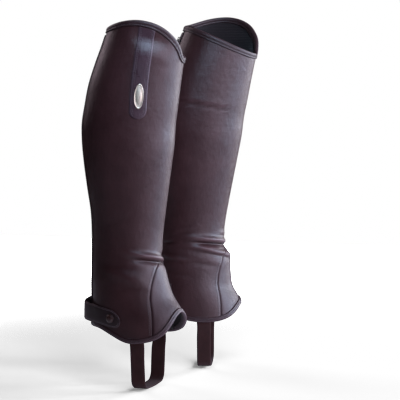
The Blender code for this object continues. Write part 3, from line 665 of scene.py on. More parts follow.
def rub_at(gaiter, angle, height):
    """Wear: 0.12, plus 0.55 for each millimetre that a point stands above the mean of its
    neighbours 4 mm up and down and 4 degrees to each side."""
    steps = ((0, WEAR_STEP), (0, -WEAR_STEP), (WEAR_STEP, 0), (-WEAR_STEP, 0))
    round_about = sum(fold_depth(gaiter, angle + a, height + h) for a, h in steps) / 4
    return np.clip(WEAR + WEAR_RISE * (fold_depth(gaiter, angle, height) - round_about), 0, 0.8)


def leg_leather(gaiter, parts=7, columns=54):
    """Two half grids: column share s goes from the seam (0) to the zip (1) as s^1.6, so the
    columns are close at the seam. The dip is -0.25 exp(-(d/1.7)^2), d mm from the seam."""
    grids, rub = [], []
    for inner in (False, True):
        share = np.linspace(0, 1, columns + 1)[None, :] ** 1.6
        sign = -1 if inner else 1
        height = np.full((1, 1), LEVELS[0]) + 0 * share
        for _ in range(SETTLING):
            front = seam_angle(height, inner)
            angle = sign * (front + (zip_angle(height) - front) * share)
            height = row_heights(gaiter, angle, parts)
        away = (np.abs(angle) - seam_angle(height, inner)) * per_degree(angle, height)
        below = np.clip((GUSSET_TOP - height) / 4, 0, 1)
        roll = -PANEL_ROLL * below * np.exp(-(away / SEAM_ROLL_WIDTH) ** 2)
        # The outer half runs from the seam to the zip and the inner half from the zip to the
        # seam: one way round, so both face outwards.
        order = slice(None, None, sign)
        grids.append(leather(gaiter, angle, height, roll)[:, order])
        rub.append(rub_at(gaiter, angle, height)[:, order].ravel())
    # The cut edge is near black: edge paint, and at the seam painted shade of the groove.
    return sheet_mesh(f"{gaiter['name']}_leg_leather", grids, gaiter,
                      [panel_leather, backing, edge_paint_and_seam_shade], {"rub": np.concatenate(rub)})


make({"leg": leg_leather})

# %% [markdown]
# ## The instep gusset
# The tongue-shaped gusset fills the front between the ankle crease and the hem. It is cut
# along the same seam, a third of a millimetre inside it. Its edges roll down by 1.3 mm and run
# on under the panel, so the two make the dark groove that the picture shows.

# %% Instep gusset
SEAM_GAP, GUSSET_TIP_GAP = 0.35, 0.4
ALLOWANCE = ((0.5, -2.5), (2.6, -2.5))  # millimetres past the seam, and out from the skin


def instep_leather(gaiter, rows=60, columns=61):
    """Grid from the tip down to the hem. The column share is sin(t pi/2), t from -1 to 1, so
    columns are close at both seams, and the rows follow the share of the way down ^1.5."""
    down = np.linspace(0, 1, rows)[:, None] ** 1.5
    across = np.sin(np.linspace(-1, 1, columns)[None, :] * math.pi / 2)
    start = GUSSET_TOP - SEAM_GAP - GUSSET_TIP_GAP
    height = start - 60 * down + 0 * across
    for _ in range(SETTLING):
        step = SEAM_GAP / per_degree(0.0, height)
        outer = seam_angle(height + SEAM_GAP, False) - step
        inner = seam_angle(height + SEAM_GAP, True) - step
        widest = np.where(across > 0, outer, inner)
        angle = widest * across
        end = inside_edge(gaiter, angle, hem_edge, 1)
        height = start + (end - start) * down
    away = (widest - np.abs(angle)) * per_degree(angle, height)
    roll = -SEAM_ROLL * np.exp(-(away / SEAM_ROLL_WIDTH) ** 2)
    # The allowance runs on under the panel: two columns more on each side.
    for reach, depth in ALLOWANCE:
        step = reach / per_degree(angle, height)
        inner_edge, outer_edge = angle[:, :1] - step[:, :1], angle[:, -1:] + step[:, -1:]
        angle = np.concatenate([inner_edge, angle, outer_edge], 1)
        height = np.concatenate([height[:, :1], height, height[:, -1:]], 1)
        roll = np.pad(roll, ((0, 0), (1, 1)), constant_values=depth)
    grid = leather(gaiter, angle, height, roll)[::-1]
    rub = rub_at(gaiter, angle, height)[::-1]
    # The cut edge is near black: edge paint, and at the seam painted shade of the groove.
    return sheet_mesh(f"{gaiter['name']}_instep_leather", [grid], gaiter,
                      [gusset_leather, backing, edge_paint_and_seam_shade], {"rub": rub})


make({"gusset": instep_leather})

# %% [markdown]
# ## The folded bindings
# Both edges are wrapped in a strip of leather that is folded over and sewn through. Its
# section is a profile in millimetres, out from the wall and in from the edge: a rounded fold
# over the edge, a soft swell, a dent where the thread pulls it down, and a turned lip. The
# profile is carried along the edge, and the dent deepens at each stitch, which puckers it.

# %% Folded bindings
STITCH_PITCH, STITCH_FROM_LIP, PUCKER = 3.0, 2.4, 0.16
HALF_BINDING = [
    # out from the wall, in from the edge as a share of the width or in millimetres
    (0.9, 0.0, 1.0), (1.9, 0.1, 1.0), (2.45, -0.4, 1.0), (2.6, -1.2, 1.0), (2.25, -2.1, 1.0),
    (2.2, -2.5, 1.0), (2.5, -3.4, 1.0), (2.65, 3.2, 0.0), (2.55, 1.9, 0.0), (2.15, 0.9, 0.0),
    (1.4, 0.25, 0.0), (0.5, 0.0, 0.0),
]


def edge_point(gaiter, edge, sign, angle, inwards, out):
    """A point beside an edge: inwards is measured square to it along the leather, so the
    angle moves by slope/size and the height by 1/size of it, size = sqrt(1 + slope^2)."""
    slope, scale = edge_slope(gaiter, edge, angle)
    slope = slope * (np.abs(angle) < np.abs(angle).max() - 1e-6)
    size = np.hypot(slope, 1)
    return leather(gaiter, angle - sign * slope / size / scale * inwards,
                   edge(gaiter, angle) + sign / size * inwards, out)


def folded_binding(gaiter, edge, sign, width, finish, steps=420):
    """The closed U profile carried along an edge. At each stitch the dent is deeper, by
    0.16 (1 + cos(2 pi run/pitch))/2, and the thickness wavers slowly by a sum of two sines."""
    outer = np.array([(o, i + share * width) for o, i, share in HALF_BINDING])
    inner = outer[::-1] * [-1, 1]
    hollow = np.array([(-0.85, 1.4), (0.0, 1.0), (0.85, 1.4)])
    profile = np.concatenate([outer, inner, hollow])
    back = TOP_BACK if sign < 0 else float(HEM_OUTER_SIDE[-1, 1])
    end = float(zip_angle(back))
    angle = np.linspace(end, -end, steps + 1)[:, None]
    after = angle[1:, 0]
    arc = np.diff(-angle[:, 0]) * per_degree(after, edge(gaiter, after))
    run = np.concatenate([[0], np.cumsum(arc)])
    dent = np.exp(-((profile[:, 1] - width + STITCH_FROM_LIP) / 0.9) ** 2)
    dent = dent * (np.abs(profile[:, 0]) > 1) * np.sign(profile[:, 0])
    swell = 0.5 + 0.5 * np.cos(2 * math.pi * run / STITCH_PITCH)[:, None]
    loose = 0.12 * np.sin(run / 17.0)[:, None] + 0.09 * np.sin(run / 7.3 + 1.1)[:, None]
    out = profile[None, :, 0] * (1 + 0.05 * loose) - PUCKER * dent[None, :] * swell
    rings = edge_point(gaiter, edge, sign, angle, profile[None, :, 1] + 0 * angle, out)
    rub = np.clip(WEAR + 0.5 * np.exp(-(profile[None, :, 1] / 1.6) ** 2) + 0 * angle, 0, 1)
    label = "top" if sign < 0 else "hem"
    return loft(f"{gaiter['name']}_{label}_binding_leather", rings, finish, {"rub": rub})


make({
    "top": lambda gaiter: folded_binding(gaiter, top_edge, -1, TOP_BINDING, binding_leather),
    "hem": lambda gaiter: folded_binding(gaiter, hem_edge, 1, HEM_BINDING, hem_leather),
})

# %% [markdown]
# ## Flat bands
# The zip's facings, the badge tab, the ankle strap and the stirrup are all flat bands. Their
# section is the same: a rounded edge, a slightly crowned face and a dent along each row of
# stitches. Only the line that they follow and the width at each place differ.

# %% Flat bands
def band_section(half, wall, rows, points=13, ribs=0.0):
    """Closed section of a band, as shares of the half width and millimetres out: a
    superellipse edge, a crown of 8%, dents of 0.18 mm at the stitch rows and ribs that many
    millimetres high, 1.8 mm apart."""
    share = np.sin(np.linspace(-1, 1, points) * math.pi / 2)
    edge = np.sqrt(np.clip(1 - np.abs(share) ** 8, 0.04, 1))
    face = wall / 2 * edge * (1 + 0.08 * (1 - share ** 2))
    for row in rows:
        for side in (-1, 1):
            face = face - 0.18 * np.exp(-((share * half - side * (half - row)) / 0.9) ** 2)
    face = face + ribs * np.cos(2 * math.pi * share * half / 1.8)
    return np.concatenate([share, share[::-1]]), np.concatenate([face, -face[::-1]])


def band(name, gaiter, angle, height, out, reach, section, finish, upright=False, wear=0.3):
    """Carries a band's section along a line of angles and heights. The band's width lies
    across the angle, or upright along the height, and reach is its half width there."""
    share, lift = section
    if upright:
        around = angle + 0 * share[None, :]
        level_at = height + share[None, :] * reach
    else:
        around = angle + share[None, :] * reach / per_degree(angle, height)
        level_at = height + 0 * around
    rings = leather(gaiter, around, level_at, out + lift[None, :])
    values = {
        "across": share[None, :] * reach * MM + 0 * around,
        "along": running_length(rings.mean(1))[:, None] + 0 * around,
        "rub": np.clip(0.1 + wear * np.abs(share[None, :]) ** 6 + 0 * around, 0, 1),
    }
    return loft(name, rings, finish, values)


def zip_line(gap, parts):
    """Heights up the back from binding to binding, finer than the solid's own rows."""
    low = HEM_OUTER_SIDE[-1, 1] + HEM_BINDING + gap
    return np.linspace(low, TOP_BACK - TOP_BINDING - gap, parts)[:, None]


print("bands ready")

# %% [markdown]
# ## Zip: facings, tape and coil
# Each side of the back opening is faced with a strip of leather, and behind it lies the tape
# with the coil sewn to it. The coil is two rows of nylon loops that hook into each other, so
# from outside it looks like a row of short bars. One bar is modelled with a few faces and
# repeated along the back.

# %% Zip facings and tape
FACING_WIDTH, FACING_ROOM, FACING_END_GAP, FACING_ROW = 12.0, 0.4, 1.8, 1.8
TAPE_HALF_WIDTH, TAPE_WALL, TAPE_ROOM, COIL_OUT, ZIP_END_GAP = 12.5, 0.8, 0.6, 0.6, 1.0


def facing(gaiter, inner):
    """A leather strip beside the opening, its middle half its width from the slot."""
    height = zip_line(FACING_END_GAP, 150)
    away = ZIP_SLOT / 2 + FACING_WIDTH / 2
    angle = zip_angle(height, away) * (-1 if inner else 1)
    out = WALL / 2 + FACING_ROOM + THIN_WALL / 2
    section = band_section(FACING_WIDTH / 2, THIN_WALL + 0.5, [FACING_ROW])
    name = f"{gaiter['name']}_zip_facing_{'inner' if inner else 'outer'}_leather"
    return band(name, gaiter, angle, height, out, FACING_WIDTH / 2, section, binding_leather)


def tape(gaiter):
    """The woven tape behind the slot."""
    height = zip_line(ZIP_END_GAP, 150)
    out = -WALL / 2 - TAPE_ROOM - TAPE_WALL / 2
    section = band_section(TAPE_HALF_WIDTH, TAPE_WALL, [])
    name, angle = f"{gaiter['name']}_zip_tape_cloth", 180.0 + 0 * height
    return band(name, gaiter, angle, height, out, TAPE_HALF_WIDTH, section, zip_cloth)


make({
    "outer facing": lambda gaiter: facing(gaiter, False),
    "inner facing": lambda gaiter: facing(gaiter, True),
    "tape": tape,
})

# %% [markdown]
# ## Many small things along a line
# Stitches and coil bars are the same problem: a small shape repeated along a path on the
# leather. The path is measured, even places are read back from it, and at each place a frame
# points along the path and out of the leather. Then all copies are worked out at once.

# %% Repeat a grain along a line
def path_frames(points, hint, pitch):
    """Even places a pitch apart along a row of points: the middle, the way along and the way
    out, all read back from the row's running length. hint points roughly outwards."""
    run = running_length(points)
    many = max(int(run[-1] / (pitch * MM)), 1)
    at = (np.arange(many) + 0.5) * run[-1] / many
    slope = np.gradient(points, run + np.arange(len(run)) * 1e-12, axis=0)
    middle, along, outwards = (
        np.stack([np.interp(at, run, v[:, k]) for k in range(3)], -1) for v in (points, slope, hint)
    )
    along /= np.linalg.norm(along, axis=1)[:, None]
    outwards -= (outwards * along).sum(1)[:, None] * along
    outwards /= np.linalg.norm(outwards, axis=1)[:, None]
    return middle, along, outwards


def line_frames(gaiter, angle, height, out, pitch):
    """The same along a line of angles and heights on the leather."""
    angle, height, out = (
        np.asarray(v, float).ravel() for v in np.broadcast_arrays(angle, height, out)
    )
    points = leather(gaiter, angle, height, out)
    return path_frames(points, leather(gaiter, angle, height, out + 1.0) - points, pitch)


def grains(name, frames, size, material, rings=5, around=6):
    """Rice-grain shapes on frames: along = length/2 sin u, radius = cos(u)^0.6 scaled by the
    width and the height, u between -75 and 75 degrees, with a flat cap at each end. size is
    the length, the width and the height."""
    middle, along, outwards = (np.concatenate(v) for v in zip(*frames))
    length, width, height = size
    u = np.radians(np.linspace(-75, 75, rings))[:, None]
    v = np.linspace(0, 2 * math.pi, around + 1)[None, :-1]
    local = np.stack([length / 2 * np.sin(u) + 0 * v, width / 2 * np.cos(u) ** 0.6 * np.cos(v),
                      height * np.cos(u) ** 0.6 * np.sin(v)], -1) * MM
    axes = np.stack([along, np.cross(outwards, along), outwards], 1)
    points = middle[:, None, None, :] + np.einsum("ruk,nkj->nruj", local, axes)
    each = rings * around
    start = (np.arange(len(middle)) * each)[:, None, None]
    quads = (ring_quads(rings, around)[None] + start).reshape(-1, 4)
    caps = np.stack([np.arange(around)[::-1], np.arange(around) + each - around])
    caps = (caps[None] + start).reshape(-1, around)
    piece = add_mesh(name, points, [*quads, *caps], [material], sharp=80)
    return clean_up(piece, True)


print("stitch maker ready")

# %% Zip coil
COIL_PITCH, COIL_BAR, COIL_SHIFT = 1.7, (4.8, 1.25, 0.75), 0.35


def coil(gaiter):
    """Bars across the middle of the back, 1.7 mm apart, shifted to each side in turn. Their
    tops lie 0.6 mm out from the middle of the wall, a little below its outer face."""
    height = zip_line(ZIP_END_GAP + 1.0, 200)
    out = COIL_OUT - COIL_BAR[2]
    middle, along, outwards = line_frames(gaiter, 180.0, height, out, COIL_PITCH)
    across = np.cross(along, outwards)
    shift = COIL_SHIFT * MM * np.where(np.arange(len(middle)) % 2, 1, -1)[:, None] * across
    frames = [(middle + shift, across, outwards)]
    return grains(f"{gaiter['name']}_zip_coil", frames, COIL_BAR, nylon, 7, 8)


make({"coil": coil})

# %% [markdown]
# ## Badge tab, badge, ankle strap and stirrup
# The tab runs down from the top binding and ends in a half circle. The plain oval badge sits
# on it. The strap leaves the inner side, stands off behind, and closes with a snap on the
# outer side. The stirrup hangs from inside the hem as a loop.

# %% Badge tab and ankle strap
TAB_WIDTH, TAB_END, TAB_ANGLE_TOP, TAB_ANGLE_END = 23.0, 25.0, 74.3, 63.3
STRAP_WIDTH, STRAP_WALL, STRAP_END_ANGLE, STRAP_START_ANGLE = 25.0, 1.8, 98.0, 240.0
STRAP_LIE, STRAP_STAND_OFF, SNAP_ANGLE = 2.2, 11.0, 110.5
STRAP_HEIGHTS = np.array([(98, -254.6), (130, -249.8), (180, -247), (215, -241.5), (240, -240)])
TAB_ROWS, TAB_STRAIGHT, TAB_TOP_GAP, STRAP_ROW = (2.2, 4.2), 40, 0.5, 2.0


def tab_angle(height):
    """Angle of the tab's middle line, a little larger at the top. The tube leans forwards
    there by more than that, and so does the tab."""
    share = (height - TAB_END) / (TOP_OUTER_SIDE[6, 1] - TAB_END)
    return TAB_ANGLE_END + (TAB_ANGLE_TOP - TAB_ANGLE_END) * share


def end_rows(half):
    """How far into a round end its rows lie: half (1 - cos u), u from 8 to 90 degrees."""
    return half * (1 - np.cos(np.radians(np.linspace(8, 90, 14))))


def round_end(into, half):
    """Half width of a band with a round end: half sqrt(1 - (1 - into/half)^2)."""
    return half * np.sqrt(1 - (1 - np.clip(into / half, 0, 1)) ** 2)


def tab_rows(gaiter, inset, many):
    """Heights up the tab and its half width there, both inset from its edge."""
    half = TAB_WIDTH / 2 - inset
    top = float(top_edge(gaiter, tab_angle(150.0))) - TOP_BINDING - LAYER_GAP
    straight_part = np.linspace(half, top - TAB_END - inset, many)[1:]
    height = TAB_END + inset + np.concatenate([end_rows(half), straight_part])
    return height[:, None], round_end(height[:, None] - TAB_END - inset, half), top


def tab_place(gaiter, height, side, top):
    """Angle and height of a point of the tab, side millimetres from its middle line. From 40
    mm above its end the tab is bent, more and more, along the binding that it meets."""
    angle = tab_angle(height) + side / per_degree(tab_angle(height), height)
    limit = top_edge(gaiter, angle) - TOP_BINDING - 2 * LAYER_GAP - TAB_TOP_GAP
    bend = (height - TAB_END - TAB_STRAIGHT) / (top - TAB_END - TAB_STRAIGHT)
    return angle, height + (limit - top) * np.clip(bend, 0, 1)


def badge_tab_leather(gaiter):
    """The tab's band, with its upper rows bent along the binding."""
    height, reach, top = tab_rows(gaiter, 0.0, 50)
    share, lift = band_section(TAB_WIDTH / 2, THIN_WALL + 0.7, TAB_ROWS, 25)
    angle, level_at = tab_place(gaiter, height, share[None, :] * reach, top)
    out = WALL / 2 + LAYER_GAP + THIN_WALL / 2
    rings = leather(gaiter, angle, level_at, out + lift[None, :])
    rub = np.clip(0.1 + 0.4 * np.abs(share[None, :]) ** 8 + 0 * angle, 0, 1)
    return loft(f"{gaiter['name']}_badge_tab_leather", rings, tab_leather, {"rub": rub})


def strap_out(angle):
    """How far the strap's middle lies out: it stands off behind by 11 exp(-|(a-183)/31|^2.5)."""
    return STRAP_LIE + STRAP_STAND_OFF * np.exp(-np.abs((angle - 183) / 31) ** 2.5)


def strap_rows(inset, many):
    """Angles along the strap and its half width there, both inset from its edge."""
    half = STRAP_WIDTH / 2 - inset
    metric = float(per_degree(STRAP_END_ANGLE, STRAP_HEIGHTS[0, 1]))
    start = STRAP_END_ANGLE + inset / metric
    straight_part = np.linspace(start + half / metric, STRAP_START_ANGLE, many)[1:]
    angle = np.concatenate([start + end_rows(half) / metric, straight_part])[:, None]
    return angle, round_end((angle - start) * metric, half)


def ankle_strap_leather(gaiter):
    """The strap's band, its width along the height."""
    angle, reach = strap_rows(0.0, 110)
    section = band_section(STRAP_WIDTH / 2, STRAP_WALL, [STRAP_ROW], 25)
    name = f"{gaiter['name']}_ankle_strap_leather"
    return band(name, gaiter, angle, curve_through(STRAP_HEIGHTS, angle), strap_out(angle), reach,
                section, strap_leather, upright=True, wear=0.5)


make({"tab": badge_tab_leather, "strap": ankle_strap_leather})

# %% Badge
BADGE_HEIGHT, BADGE_SIZE = 56.2, (12.4, 34.8)
BADGE_PROFILE = np.array([
    # share of the half size, out from the tab
    (0.97, 0.0), (1.0, 0.35), (1.0, 0.8), (0.975, 1.25), (0.93, 1.5), (0.885, 1.38), (0.85, 1.05),
    (0.83, 0.95), (0.79, 1.0), (0.765, 1.16), (0.735, 1.16), (0.71, 1.02), (0.66, 1.1),
    (0.5, 1.38), (0.3, 1.62), (0.12, 1.7), (0.02, 1.7),
])


def badge_plate(gaiter):
    """An oval plate: the profile of rim, bead and low dome carried round an ellipse."""
    turn = np.linspace(0, 2 * math.pi, 65)[:-1][None, :]
    share, lift = BADGE_PROFILE[:, :1], BADGE_PROFILE[:, 1:]
    height = BADGE_HEIGHT + share * BADGE_SIZE[1] / 2 * np.sin(turn)
    across = share * BADGE_SIZE[0] / 2 * np.cos(turn)
    angle = tab_angle(height) + across / per_degree(tab_angle(height), height)
    base = WALL / 2 + 2 * LAYER_GAP + THIN_WALL
    rings = leather(gaiter, angle, height, base + lift)
    return loft(f"{gaiter['name']}_badge_plate", rings, satin_nickel)


make({"badge": badge_plate})

# %% Stirrup
STIRRUP_ANGLE, STIRRUP_WIDTH, STIRRUP_WALL = 85.5, 20.0, 1.6
STIRRUP_TOP, STIRRUP_HEM, STIRRUP_BOTTOM, STIRRUP_INSET = -268.0, -284.0, -352.0, 3.9
LOOP_HALF_WIDTH, LOOP_CORNER, LOOP_SPREAD, RIB_HEIGHT = 38.0, 14.0, 2.5, 0.09


def stirrup_rows(gaiter, sign, across):
    """Half of the loop: rows that follow the wall inside the hem, then a flat run down and a
    quarter circle to the level part. across is in millimetres."""
    height = np.linspace(STIRRUP_TOP, STIRRUP_HEM, 5)[:, None]
    angle = STIRRUP_ANGLE - across[None, :] / per_degree(STIRRUP_ANGLE, height)
    sewn_ahead, sewn_side, _, _ = section_at(angle, height)
    sewn_ahead = sewn_ahead + gaiter["lean"] * (height - STIRRUP_HEM)
    sewn_side = sewn_side - STIRRUP_INSET
    middle = float(section_at(STIRRUP_ANGLE, STIRRUP_HEM)[0])
    corner = np.radians(np.linspace(0, 90, 10))[:, None]
    side = LOOP_HALF_WIDTH - LOOP_CORNER * (1 - np.cos(corner))
    low = STIRRUP_BOTTOM + LOOP_CORNER * (1 - np.sin(corner))
    flat_side = np.concatenate([[[LOOP_HALF_WIDTH + LOOP_SPREAD]], side])
    flat_height = np.concatenate([[[(STIRRUP_HEM + STIRRUP_BOTTOM) / 2 + 8]], low])
    ahead = np.concatenate([sewn_ahead, middle + across[None, :] + 0 * flat_side])
    side = np.concatenate([sewn_side, flat_side + 0 * across[None, :]])
    height = np.concatenate([height, flat_height])
    upright = ahead - gaiter["lean"] * (height - STIRRUP_HEM)
    return place(gaiter, upright, sign * side, height)


FACE_POINTS = 45
STIRRUP_SHARE, STIRRUP_LIFT = band_section(
    STIRRUP_WIDTH / 2, STIRRUP_WALL, [], FACE_POINTS, RIB_HEIGHT)


def stirrup_surface(gaiter):
    """The loop's middle surface: rows smoothed by a curve through them, and their normals."""
    across = STIRRUP_SHARE[:FACE_POINTS] * STIRRUP_WIDTH / 2
    halves = [stirrup_rows(gaiter, sign, across) for sign in (1, -1)]
    rows = np.concatenate([halves[0], halves[1][::-1]])
    run = running_length(rows.mean(1))
    at = np.linspace(0, run[-1], 150)
    table = np.concatenate([run[:, None], rows.reshape(len(rows), -1)], 1)
    fine = np.stack([curve_through(table, at, k) for k in range(1, table.shape[1])], -1)
    fine = fine.reshape(len(at), FACE_POINTS, 3)
    normal = np.cross(np.gradient(fine, axis=0), np.gradient(fine, axis=1))
    normal /= np.linalg.norm(normal, axis=2)[..., None]
    return fine, normal, at


def stirrup_loop(gaiter):
    """The woven elastic: its middle surface, thickened by the band's section."""
    fine, normal, at = stirrup_surface(gaiter)
    face, back = STIRRUP_LIFT[:FACE_POINTS], STIRRUP_LIFT[FACE_POINTS:][::-1]
    rings = np.concatenate([fine + normal * face[None, :, None] * MM,
                            (fine + normal * back[None, :, None] * MM)[:, ::-1]], 1)
    values = {"across": STIRRUP_SHARE[None, :] * STIRRUP_WIDTH / 2 * MM + 0 * at[:, None],
              "along": at[:, None] + 0 * STIRRUP_SHARE[None, :]}
    return loft(f"{gaiter['name']}_stirrup_elastic", rings, stirrup_webbing, values)


make({"stirrup": stirrup_loop})

# %% [markdown]
# ## Snap, slider and pull
# The snap's cap is a turned shape: a rolled rim, a shallow groove and a dome. The slider and
# its pull already have the right form as solids, so copies of them are merged and get a small
# bevel, as a casting has.

# %% Snap caps
SNAP_PROFILE = np.array([
    # radius, out from the strap
    (6.0, 0.0), (6.3, 0.25), (6.3, 0.75), (6.1, 1.15), (5.7, 1.3), (5.35, 1.22), (5.15, 1.3),
    (4.9, 1.7), (4.2, 2.15), (3.2, 2.45), (2.0, 2.6), (0.8, 2.65), (0.05, 2.65),
])


def snap(gaiter):
    """The profile turned round the outward axis of the strap at the snap's place."""
    height = float(curve_through(STRAP_HEIGHTS, SNAP_ANGLE))
    out = float(strap_out(SNAP_ANGLE)) + STRAP_WALL / 2 + 2 * LAYER_GAP
    centre, above, below, ahead, behind = (
        leather(gaiter, SNAP_ANGLE + turn, height + rise, out)
        for turn, rise in ((0, 0), (0, 2), (0, -2), (1, 0), (-1, 0))
    )
    up, round_about = above - below, ahead - behind
    up /= np.linalg.norm(up)
    outwards = gaiter["side"] * np.cross(round_about, up)
    outwards /= np.linalg.norm(outwards)
    across = np.cross(up, outwards)
    turn = np.linspace(0, 2 * math.pi, 49)[:-1][None, :, None]
    radius, rise = (SNAP_PROFILE.T * MM)[:, :, None, None]
    rings = centre + radius * (np.cos(turn) * across + np.sin(turn) * up) + rise * outwards
    return loft(f"{gaiter['name']}_snap", rings, enamel)


def casting(gaiter, part, width):
    """A copy of the slider's or the pull's own solid, merged, with rounded edges."""
    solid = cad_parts[f"{gaiter['name']}_zip_{part}"]
    piece = bpy.data.objects.new(f"{gaiter['name']}_{part}_casting", solid.data.copy())
    bpy.context.scene.collection.objects.link(piece)
    piece.data.materials.clear()
    piece.data.materials.append(bronze_plate)
    clean_up(piece, False)
    piece.data.shade_smooth()
    bevel = piece.modifiers.new("edges", "BEVEL")
    bevel.width = width * MM
    bevel.segments = 2
    bevel.limit_method = "ANGLE"
    bevel.angle_limit = math.radians(35)
    bevel.harden_normals = True
    return piece


make({
    "snap": snap,
    "slider": lambda gaiter: casting(gaiter, "slider", 0.3),
    "pull": lambda gaiter: casting(gaiter, "pull", 0.25),
})

# %% [markdown]
# ## Stitches
# Everything is sewn with a twisted polyester thread in the colour of the leather, about three
# millimetres to a stitch. One stitch is a grain that sinks halfway into the dent that the
# thread makes. The same two helpers lay the rows along the bindings, beside the gusset's seam,
# twice round the tab, round the strap, up the facings and along the elastic.

# %% Rows of stitches
STITCH_SIZE, SEAM_ROW, SHORT_PITCH = (2.2, 0.62, 0.3), 2.8, 2.6
BOX_ANGLES, BOX_MARGIN = (79.5, 83.5, 93.5), 1.6
EDGE_COLUMN, HIDDEN_ROWS = 7, 20  # of the loop: 1.2 mm from its edge, and inside the hem


def binding_rows(gaiter, edge, sign, width):
    """A row on each face of a binding, 2.4 mm from its lip."""
    end = float(zip_angle(TOP_BACK if sign < 0 else HEM_OUTER_SIDE[-1, 1])) - 1.0
    angle = np.linspace(end, -end, 500)
    rows = []
    for out in (2.2, -2.2):
        points, above = (
            edge_point(gaiter, edge, sign, angle, width - STITCH_FROM_LIP, o)
            for o in (out, out * 1.5)
        )
        rows.append(path_frames(points, above - points, STITCH_PITCH))
    return rows


def seam_rows(gaiter):
    """A row on the panel beside the seam. The seam is a line of arc length and height, and the
    row lies 2.8 mm along its normal (-dh, ds)."""
    rows = []
    for sign in (1, -1):
        height = GUSSET_TOP - GUSSET_HEIGHT * np.linspace(0.0, 1.05, 500) ** 2.2
        angle = seam_angle(height, sign < 0)
        arc = angle * per_degree(angle, height)
        arc_step, height_step = np.gradient(arc), np.gradient(height)
        size = np.hypot(arc_step, height_step)
        row_height = height + SEAM_ROW * arc_step / size
        row_angle = (arc - SEAM_ROW * height_step / size) / per_degree(angle, row_height)
        keep = row_height > hem_edge(gaiter, sign * row_angle) + HEM_BINDING + 1.5
        keep &= row_height < GUSSET_TOP
        rows.append(line_frames(gaiter, sign * row_angle[keep], row_height[keep],
                                WALL / 2 + 0.02, STITCH_PITCH))
    return rows


def tab_stitch_rows(gaiter):
    """Two rows down one side of the tab, round its end and up the other side."""
    rows = []
    for inset in TAB_ROWS:
        height, reach, top = tab_rows(gaiter, inset, 50)
        low = [TAB_END + inset]
        level_at = np.concatenate([height[::-1, 0], low, height[:, 0]])
        side = np.concatenate([-reach[::-1, 0], [0.0], reach[:, 0]])
        angle, level_at = tab_place(gaiter, level_at, side, top)
        out = WALL / 2 + LAYER_GAP + THIN_WALL / 2 + 0.72
        rows.append(line_frames(gaiter, angle, level_at, out, STITCH_PITCH))
    return rows


def strap_stitch_rows(gaiter):
    """One row along the strap's lower edge, round its end and back along the upper edge."""
    angle, reach = strap_rows(STRAP_ROW, 110)
    around = np.concatenate([angle[::-1, 0], angle[:, 0]])
    side = np.concatenate([-reach[::-1, 0], reach[:, 0]])
    level_at = curve_through(STRAP_HEIGHTS, around) + side
    out = strap_out(around) + STRAP_WALL / 2 - 0.15
    return [line_frames(gaiter, around, level_at, out, SHORT_PITCH)]


def facing_rows(gaiter, inner):
    """A row along each edge of a facing."""
    height = zip_line(FACING_END_GAP + 2.0, 150)[:, 0]
    out = WALL / 2 + FACING_ROOM + THIN_WALL / 2 + 0.62
    sign = -1 if inner else 1
    rows = (FACING_ROW, FACING_WIDTH - FACING_ROW)
    lines = [sign * zip_angle(height, ZIP_SLOT / 2 + row) for row in rows]
    return [line_frames(gaiter, angle, height, out, STITCH_PITCH) for angle in lines]


def stirrup_stitch_rows(gaiter):
    """A row along the front edge of the elastic on the outer face of the loop."""
    fine, normal, at = stirrup_surface(gaiter)
    middle = fine.reshape(-1, 3).mean(0)
    shown = slice(HIDDEN_ROWS, len(at) - HIDDEN_ROWS)
    path, hint = fine[shown, EDGE_COLUMN], normal[shown, EDGE_COLUMN]
    hint = hint * np.sign((hint * (path - middle)).sum(1))[:, None]
    return [path_frames(path + hint * 0.75 * MM, hint, STITCH_PITCH)]


def stirrup_box_rows(gaiter):
    """The box that sews the elastic to the hem: a level row above the binding, one on it, and
    three short upright rows between them."""
    wide = np.linspace(BOX_ANGLES[0], BOX_ANGLES[-1], 30)
    rows = []
    for sign in (1, -1):
        above = hem_edge(gaiter, sign * wide) + HEM_BINDING + BOX_MARGIN
        on_it = hem_edge(gaiter, sign * wide) + BOX_MARGIN
        rows.append(line_frames(gaiter, sign * wide, above, WALL / 2 + 0.1, SHORT_PITCH))
        rows.append(line_frames(gaiter, sign * wide, on_it, 2.6, SHORT_PITCH))
        for at in BOX_ANGLES:
            low = float(hem_edge(gaiter, np.array(sign * at)))
            upright = np.linspace(low + BOX_MARGIN, low + HEM_BINDING - 0.6, 8)
            rows.append(line_frames(gaiter, sign * at + 0 * upright, upright, 2.62, 2.4))
    return rows


print("rows ready")

# %% Sew them
for gaiter in (RIGHT, LEFT):
    name = gaiter["name"]
    rows = {
        "top stitches": (binding_rows(gaiter, top_edge, -1, TOP_BINDING), dark_thread),
        "hem stitches": (binding_rows(gaiter, hem_edge, 1, HEM_BINDING), dark_thread),
        "seam stitches": (seam_rows(gaiter), dark_thread),
        "tab stitches": (tab_stitch_rows(gaiter), dark_thread),
        "strap stitches": (strap_stitch_rows(gaiter), thread),
        "outer facing stitches": (facing_rows(gaiter, False), thread),
        "inner facing stitches": (facing_rows(gaiter, True), thread),
        "stirrup stitches": (stirrup_stitch_rows(gaiter), dark_thread),
        "stirrup box": (stirrup_box_rows(gaiter), dark_thread),
    }
    for key, (frames, finish) in rows.items():
        pieces[name, key] = grains(f"{name}_{key.replace(' ', '_')}", frames, STITCH_SIZE, finish)
    print(name, {key: sum(len(f[0]) for f in frames) for key, (frames, _) in rows.items()})
